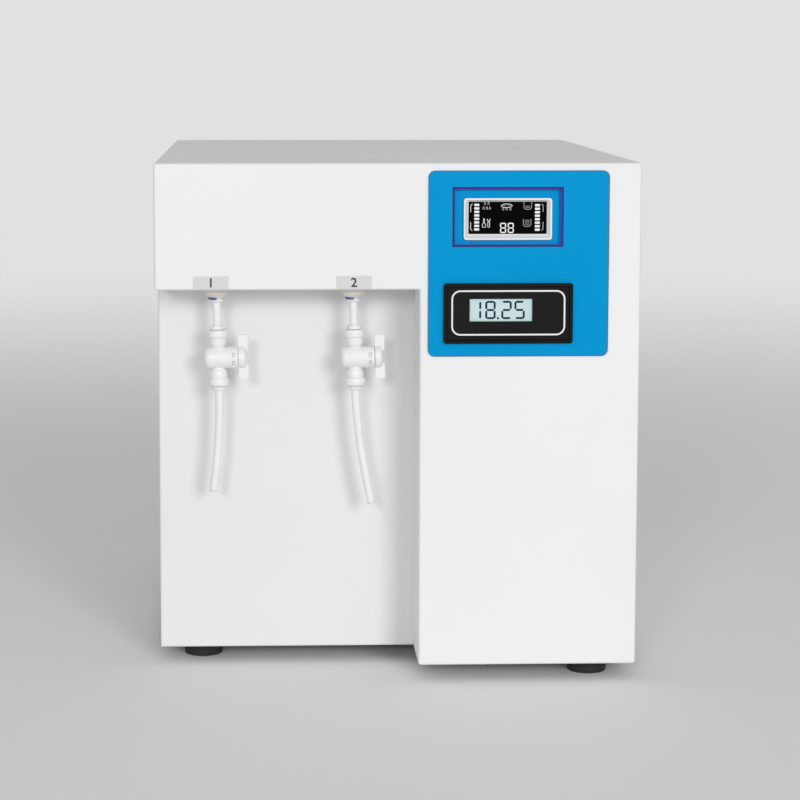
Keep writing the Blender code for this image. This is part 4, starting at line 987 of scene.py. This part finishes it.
def collet_shape(mouth, shoulder, length, reach):
    """Release collet, mouth down: tapered flange, sleeve and the swollen ring of teeth."""
    throat = tube_radius + tube_room
    tip = shoulder + length
    return spun([
        (throat, mouth + 0.0002), (throat + 0.0003, mouth), (0.0047, mouth), (0.0050, mouth + 0.0002),
        (reach - 0.0002, shoulder - 0.0008), (reach, shoulder - 0.0005), (reach, shoulder - 0.0002),
        (reach - 0.0002, shoulder), (0.0044, shoulder), (0.0044, tip - 0.0024), (0.0047, tip - 0.0020),
        (0.0044, tip), (throat, tip),
    ])


def clip_shape():
    """Open locking ring with rounded tips."""
    shape = bmesh.new()
    section = [(0.0047, clip_low), (0.0060, clip_low), (0.0061, clip_high), (0.0047, clip_high)]
    points = [shape.verts.new((radius, 0, height)) for radius, height in section]
    edges = [shape.edges.new((points[step - 1], points[step])) for step in range(len(points))]
    bmesh.ops.rotate(
        shape, verts=points, cent=(0, 0, 0), matrix=Matrix.Rotation(clip_facing - clip_sweep / 2, 3, "Z"),
    )
    bmesh.ops.spin(
        shape, geom=points + edges, axis=(0, 0, 1), cent=(0, 0, 0), angle=clip_sweep, steps=clip_steps,
        use_merge=False,
    )
    bmesh.ops.holes_fill(shape, edges=[edge for edge in shape.edges if len(edge.link_faces) == 1], sides=0)
    return soften(turned_out(shape), clip_arris, limit=fold_edge, steps=2)


def valve_place(side):
    """Frame of the leaning valve: its ports along Z, its barrel along X."""
    joint = joints[f"{side}_valve_turn"]
    axis = Vector(joint["axis"])
    lean = math.atan2(axis.z, axis.x)
    return at(*joint["pos_m"]) @ Matrix.Rotation(-lean, 4, "Y")


def both_ports(profile):
    """The same profile above and below the barrel, as one solid of revolution."""
    return spun([(radius, -height) for radius, height in reversed(profile)] + profile)


def valve_body_shape():
    """Moulded body: two ports with their nuts and tapered collars, the cross barrel and its chamber."""
    body = merged(both_ports(port_profile), spun(barrel_profile, axis="X"))
    body = cut(body, both_ports(port_bore))
    ends = (-chamber_radius, barrel_right + overrun)
    chamber = spun([(0, ends[0]), (chamber_radius, ends[0]), (chamber_radius, ends[1]), (0, ends[1])], axis="X")
    return cut(body, chamber)


def handle_shape():
    """Domed hub with the two flat wings of its butterfly, and the socket of the stem."""
    shape = spun(hub_profile, axis="X")
    for side in (-1, 1):
        wing = soften(slab(*wing_size, wing_corner, wing_thickness, steps=8), wing_arris)
        shape = merged(shape, moved(wing, wing_place, -wing_thickness / 2, side * wing_rise))
    return cut(shape, spun(stem_socket, steps=24, axis="X"))


def flow_marks():
    """Two raised rings on the barrel's front beside the handle."""
    marks = []
    for up in mark_rises:
        mark = ring(*mark_size, mark_size[0] * mark_corner_share, mark_thickness, mark_line, steps=5)
        slope = math.asin(up / barrel_radius)
        outward = at(mark_place, -barrel_radius * math.cos(slope), up)
        mark.transform(outward @ Matrix.Rotation(-slope, 4, "X") @ at(0, -mark_sink, 0))
        marks.append(mark)
    return gathered(marks)


def build_outlets():
    """Both dispensing outlets, from the bulkhead in the head down to the valve."""
    middle = (collet_low + collet_tip) / 2
    release = (collet_low - middle, collet_high - middle, collet_tip - collet_high, collet_reach)
    valve_release = (-valve_mouth, -valve_half - seat_gap, valve_collet_length, valve_collet_reach)
    for side in ("left", "right"):
        seat = at(outlet_x[side], outlet_y, head_underside)
        valve = valve_place(side)
        upturned = valve @ Matrix.Rotation(math.pi, 4, "X")
        sway = Matrix.Translation(seat @ Vector((0, 0, middle))) @ valve.to_3x3().to_4x4()
        ends = (riser_start, riser_start + extent(f"{side}_riser_tube").z)
        riser = spun([(tube_bore, ends[0]), (tube_radius, ends[0]), (tube_radius, ends[1]), (tube_bore, ends[1])])
        for name, shape, look, node, place in (
            ("bulkhead_fitting", bulkhead_shape(), "ivory acetal", "bulkhead", seat),
            ("blue_clip", clip_shape(), "clip blue", "locking_clip", seat),
            ("bulkhead_release_collet", collet_shape(*release), "moulded acetal", "bulkhead_collet", sway),
            ("riser_pipe", riser, "polyethylene tube", "riser_tube", valve),
            ("valve_moulding", valve_body_shape(), "moulded acetal", "valve_body", valve),
            ("valve_marks", flow_marks(), "grey moulded mark", None, valve),
            ("upper_release_collet", collet_shape(*valve_release), "moulded acetal", "valve_upper_collet", upturned),
            ("lower_release_collet", collet_shape(*valve_release), "moulded acetal", "valve_lower_collet", valve),
        ):
            keep(f"{side}_{name}", shape, look, replaces=node and f"{side}_{node}", place=place)
        keep(
            f"{side}_butterfly_handle", handle_shape(), "moulded acetal", body=f"{side}_valve_core",
            replaces=f"{side}_valve_handle", place=valve,
        )


# Outlet hoses: their centrelines as (sideways, drop) from each outlet's seat

hose_start = [(0.00140, -0.0635), (0.00160, -0.0710), (0.00177, -0.0781)]
hose_routes = {
    "left": [(0.00192, -0.0875), (0.00188, -0.0970), (0.00075, -0.1213), (-0.00110, -0.1395), (-0.00280, -0.1553)],
    "right": [(0.00215, -0.0875), (0.00290, -0.0970), (0.00570, -0.1213), (0.01000, -0.1455), (0.01390, -0.1652)],
}
hose_steps = 8
hose_roundness = 10


def smooth_route(points):
    """Catmull-Rom curve through the points."""
    ends = [2 * points[0] - points[1]] + points + [2 * points[-1] - points[-2]]
    line = []
    for before, start, finish_point, after in zip(ends, ends[1:], ends[2:], ends[3:]):
        for step in range(hose_steps):
            t = step / hose_steps
            line.append(0.5 * (
                2 * start + (finish_point - before) * t
                + (2 * before - 5 * start + 4 * finish_point - after) * t ** 2
                + (3 * start - before - 3 * finish_point + after) * t ** 3
            ))
    return line + [points[-1]]


def build_hoses():
    """Free ends of polyethylene tube that hang from the valves."""
    for side, route in hose_routes.items():
        seat = Vector((outlet_x[side], outlet_y, head_underside))
        line = smooth_route([seat + Vector((sideways, 0, drop)) for sideways, drop in hose_start + route])
        outer = wire(line, tube_radius, resolution=hose_roundness, capped=False)
        hose = keep(f"{side}_hose", outer, "polyethylene tube", replaces=f"{side}_outlet_tube")
        wall = hose.modifiers.new("wall", "SOLIDIFY")
        wall.thickness = tube_radius - tube_bore
        wall.offset = -1


# Rear fittings

def build_rear_ports():
    """Push-fit unions of the feed, the tank and the drain, each with its release collet."""
    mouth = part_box("feed_port")[1].y - port_plane_y
    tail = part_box("feed_port")[0].y - port_plane_y
    union = [
        (mouth_radius, 0.0078), (0.0062, 0.0078), (0.0065, 0.0075), (0.0066, 0.0058), (0.0070, 0.0058),
        (0.0079, 0.0056), (0.0087, 0.0052), (0.0092, 0.0046), (flange_radius, 0.0038), (flange_radius, 0.0008),
        (0.0091, 0.0003), (shank_radius, 0.0003), (shank_radius, -0.0015), (0.0105, -0.0015), (0.0105, -0.0075),
        (shank_radius, -0.0075), (shank_radius, tail), (tube_bore, tail), (tube_bore, mouth - tube_stop),
        (seat_radius, mouth - tube_stop), (seat_radius, 0.0010), (mouth_radius, 0.0010),
    ]
    throat = tube_radius + tube_room
    collet = [
        (throat, mouth - 0.0002), (throat + 0.0003, mouth), (0.0047, mouth), (0.0050, mouth - 0.0002),
        (collet_reach, 0.0084), (0.0053, 0.0081), (0.0044, 0.0081), (0.0044, 0.0015), (throat, 0.0015),
    ]
    for node in ("feed_port", "tank_port", "drain_port"):
        centre = middle_of(node)
        place = at(centre.x, port_plane_y, centre.z)
        keep(f"{node}_union", spun(union, axis="Y"), "ivory acetal", replaces=node, place=place)
        keep(f"{node}_release_collet", spun(collet, axis="Y"), "moulded acetal", place=place)


# Mains inlet, its switch and the screws of the panel

inlet_corner = 0.0030
inlet_arris = 0.0005
inlet_back = (0.0290, 0.0500, 0.0010)
inlet_lap = 0.0002
socket_drop = -0.0115
socket_corner = 0.0028
socket_size = (0.0240, 0.0165)
socket_depth = 0.0170
pin_size = (0.0020, 0.0050)
pin_places = ((-0.0070, 0.0), (0.0, 0.0020), (0.0070, 0.0))
pin_front = 0.0055
switch_size = (0.0140, 0.0190)
switch_corner = 0.0004
switch_depth = 0.0080
rocker_arris = 0.0004
rocker_edge = math.radians(30)
screw_inset = 0.0085
screw_radius = 0.0031
screw_height = 0.0021
cross_size = (0.0034, 0.0008)
cross_depth = 0.0011
# Head's outline above its rim, as shares of its radius and height
screw_shares = ((1, 0.4), (0.85, 0.75), (0.5, 0.95), (0, 1))


def build_rear_screws():
    """Pan-head screws with cross recesses round the rim of the rear panel."""
    low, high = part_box("rear_panel")
    middle = (low + high) / 2
    rows = (low.z + screw_inset, middle.z, high.z - screw_inset)
    places = [(x, z) for x in (low.x + screw_inset, high.x - screw_inset) for z in rows]
    places += [(middle.x, rows[0]), (middle.x, rows[-1])]
    for number, (x, z) in enumerate(places, 1):
        dome = [(screw_radius * out, screw_height * up) for out, up in screw_shares]
        head = spun([(0, -print_sink), (screw_radius, -print_sink), *dome], steps=32, axis="Y")
        for size in (cross_size, cross_size[::-1]):
            head = cut(head, moved(slab(*size, 0, screw_height), 0, screw_height - cross_depth, 0))
        keep(f"rear_screw_{number}", head, "screw steel", place=at(x, port_plane_y, z))


def build_power_inlet():
    """Flanged inlet moulding with its recess and pins, and the rocker."""
    low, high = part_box("power_inlet")
    centre = (low + high) / 2
    pivot = Vector(joints["power_rocker_tilt"]["pos_m"])
    depth = high.y - port_plane_y - seat_gap
    front = at(centre.x, high.y, centre.z) @ Matrix.Rotation(math.pi, 4, "Z")
    moulding = soften(slab(high.x - low.x, high.z - low.z, inlet_corner, depth, steps=8), inlet_arris)
    back = slab(*inlet_back, high.y - low.y - depth + inlet_lap, steps=3)
    moulding = merged(moulding, moved(back, 0, depth - inlet_lap, 0))
    recess = slab(*socket_size, socket_corner, socket_depth + overrun, steps=4)
    moulding = cut(moulding, moved(recess, 0, -overrun, socket_drop))
    opening = slab(*switch_size, switch_corner, switch_depth + overrun, steps=2)
    moulding = cut(moulding, moved(opening, 0, -overrun, pivot.z - centre.z))
    keep("inlet_moulding", moulding, "switch black", replaces="power_inlet", place=front)
    pins = []
    for across, rise in pin_places:
        pin = soften(slab(*pin_size, 0, socket_depth - pin_front + overrun), rocker_arris)
        pins.append(moved(pin, across, pin_front, socket_drop + rise))
    keep("inlet_pins", gathered(pins), "nickel brass", place=front)
    rocker = trimmed("power_rocker", rocker_arris, steps=3, limit=rocker_edge)
    keep("switch_rocker", rocker, "switch black", body="power_rocker_body", replaces="power_rocker")


# Pieces inside the cabinet

INSIDE = {
    "solder mask": ["controller_board"],
    "ivory acetal": ["left_bulkhead_nut", "right_bulkhead_nut"],
    "moulded acetal": ["left_valve_ball", "right_valve_ball", "conductivity_cell", "membrane_union"],
    "polyethylene tube": ["left_supply_tube", "right_supply_tube"],
    "cartridge white": [
        "sediment_cartridge", "carbon_cartridge", "membrane_housing", "polishing_cartridge_1",
        "polishing_cartridge_2",
    ],
    "galvanised sheet": ["cartridge_rack"],
    "motor black": ["booster_pump"],
    "zinc case": ["power_supply"],
    "switch black": ["feed_solenoid_valve"],
}


def dress_inside():
    """Finish of the CAD nodes that stay as they are."""
    for look, carried in INSIDE.items():
        for node in carried:
            mesh = nodes[node].data
            mesh.materials.clear()
            mesh.materials.append(looks[look])


# Camera, light and floor

camera_place = (-0.0993, -1.92405, 0.4707)
camera_down = math.radians(6.211)
camera_right = math.radians(1.802)
camera_lens = 104.0
camera_shift = (0.08, -0.12)
world_level = 0.465
backdrop_colour = (0.75, 0.75, 0.755, 1)
lamp_aim = (0, 0, 0.2)
# Place, size and power of each lamp
LAMPS = {"key": ((-1.2, -4.8, 1.5), 0.9, 42), "fill": ((1.55, -4.8, 1.5), 1.6, 92)}
floor_radius = 6.0
floor_colour = (0.86, 0.86, 0.865, 1)
floor_plain = 0.5
floor_gone = 3.2


def build_camera():
    data = bpy.data.cameras.new("camera")
    data.sensor_width = 36
    data.lens = camera_lens
    data.shift_x, data.shift_y = camera_shift
    data.clip_start = 0.1
    data.clip_end = 50
    camera = placed("camera", data)
    camera.location = camera_place
    camera.rotation_euler = (math.radians(90) - camera_down, 0, -camera_right)
    bpy.context.scene.camera = camera


def build_world():
    """Even light all round, behind a pale tone that the camera and reflections see."""
    world = bpy.data.worlds.new("studio")
    bpy.context.scene.world = world
    world.use_nodes = True
    tree = world.node_tree
    tree.nodes.clear()
    light = add(tree, "Background", {"Color": (1, 1, 1, 1), "Strength": world_level})
    backdrop = add(tree, "Background", {"Color": backdrop_colour, "Strength": 1.0})
    path = add(tree, "LightPath")
    seen = add(tree, "Math", operation="MAXIMUM")
    either = add(tree, "Math", operation="MAXIMUM")
    blend = add(tree, "MixShader")
    output = add(tree, "OutputWorld")
    join(
        tree,
        (path, "Is Camera Ray", seen, 0), (path, "Is Glossy Ray", seen, 1), (seen, 0, either, 0),
        (path, "Is Transmission Ray", either, 1), (either, 0, blend, 0), (light, 0, blend, 1),
        (backdrop, 0, blend, 2), (blend, 0, output, "Surface"),
    )


def build_lamps():
    for name, (place, size, power) in LAMPS.items():
        data = bpy.data.lights.new(name, "AREA")
        data.shape = "DISK"
        data.size = size
        data.energy = power
        lamp = placed(name, data)
        lamp.location = place
        lamp.rotation_euler = (Vector(lamp_aim) - Vector(place)).to_track_quat("-Z", "Y").to_euler()


def build_floor():
    """Pale disc that fades out into the backdrop."""
    shape = bmesh.new()
    bmesh.ops.create_circle(shape, cap_ends=True, segments=64, radius=floor_radius)
    mesh = baked(shape, "floor")
    floor = placed("floor", mesh)
    material = bpy.data.materials.new("pale floor")
    material.use_nodes = True
    tree = material.node_tree
    shader = tree.nodes["Principled BSDF"]
    shader.inputs["Base Color"].default_value = floor_colour
    shader.inputs["Roughness"].default_value = 0.6
    shader.inputs["Specular IOR Level"].default_value = 0.1
    place = add(tree, "TexCoord")
    reach = add(tree, "VectorMath", operation="LENGTH")
    limits = {"From Min": floor_plain, "From Max": floor_gone}
    fade = add(tree, "MapRange", limits, interpolation_type="SMOOTHSTEP")
    clear = add(tree, "BsdfTransparent")
    blend = add(tree, "MixShader")
    join(
        tree,
        (place, "Object", reach, 0), (reach, "Value", fade, "Value"), (fade, "Result", blend, 0),
        (shader, 0, blend, 1), (clear, 0, blend, 2), (blend, 0, tree.nodes["Material Output"], "Surface"),
    )
    mesh.materials.append(material)


build_camera()
build_hoses()
build_world()
build_lamps()
build_floor()
bpy.context.scene.view_settings.view_transform = "Standard"
build_shell()
build_alcove()
build_feet()
build_control_panel()
build_display_housing()
build_bezel()
build_display_prints()
build_meter()
build_labels()
build_outlets()
build_rear_ports()
build_rear_screws()
build_power_inlet()
dress_inside()
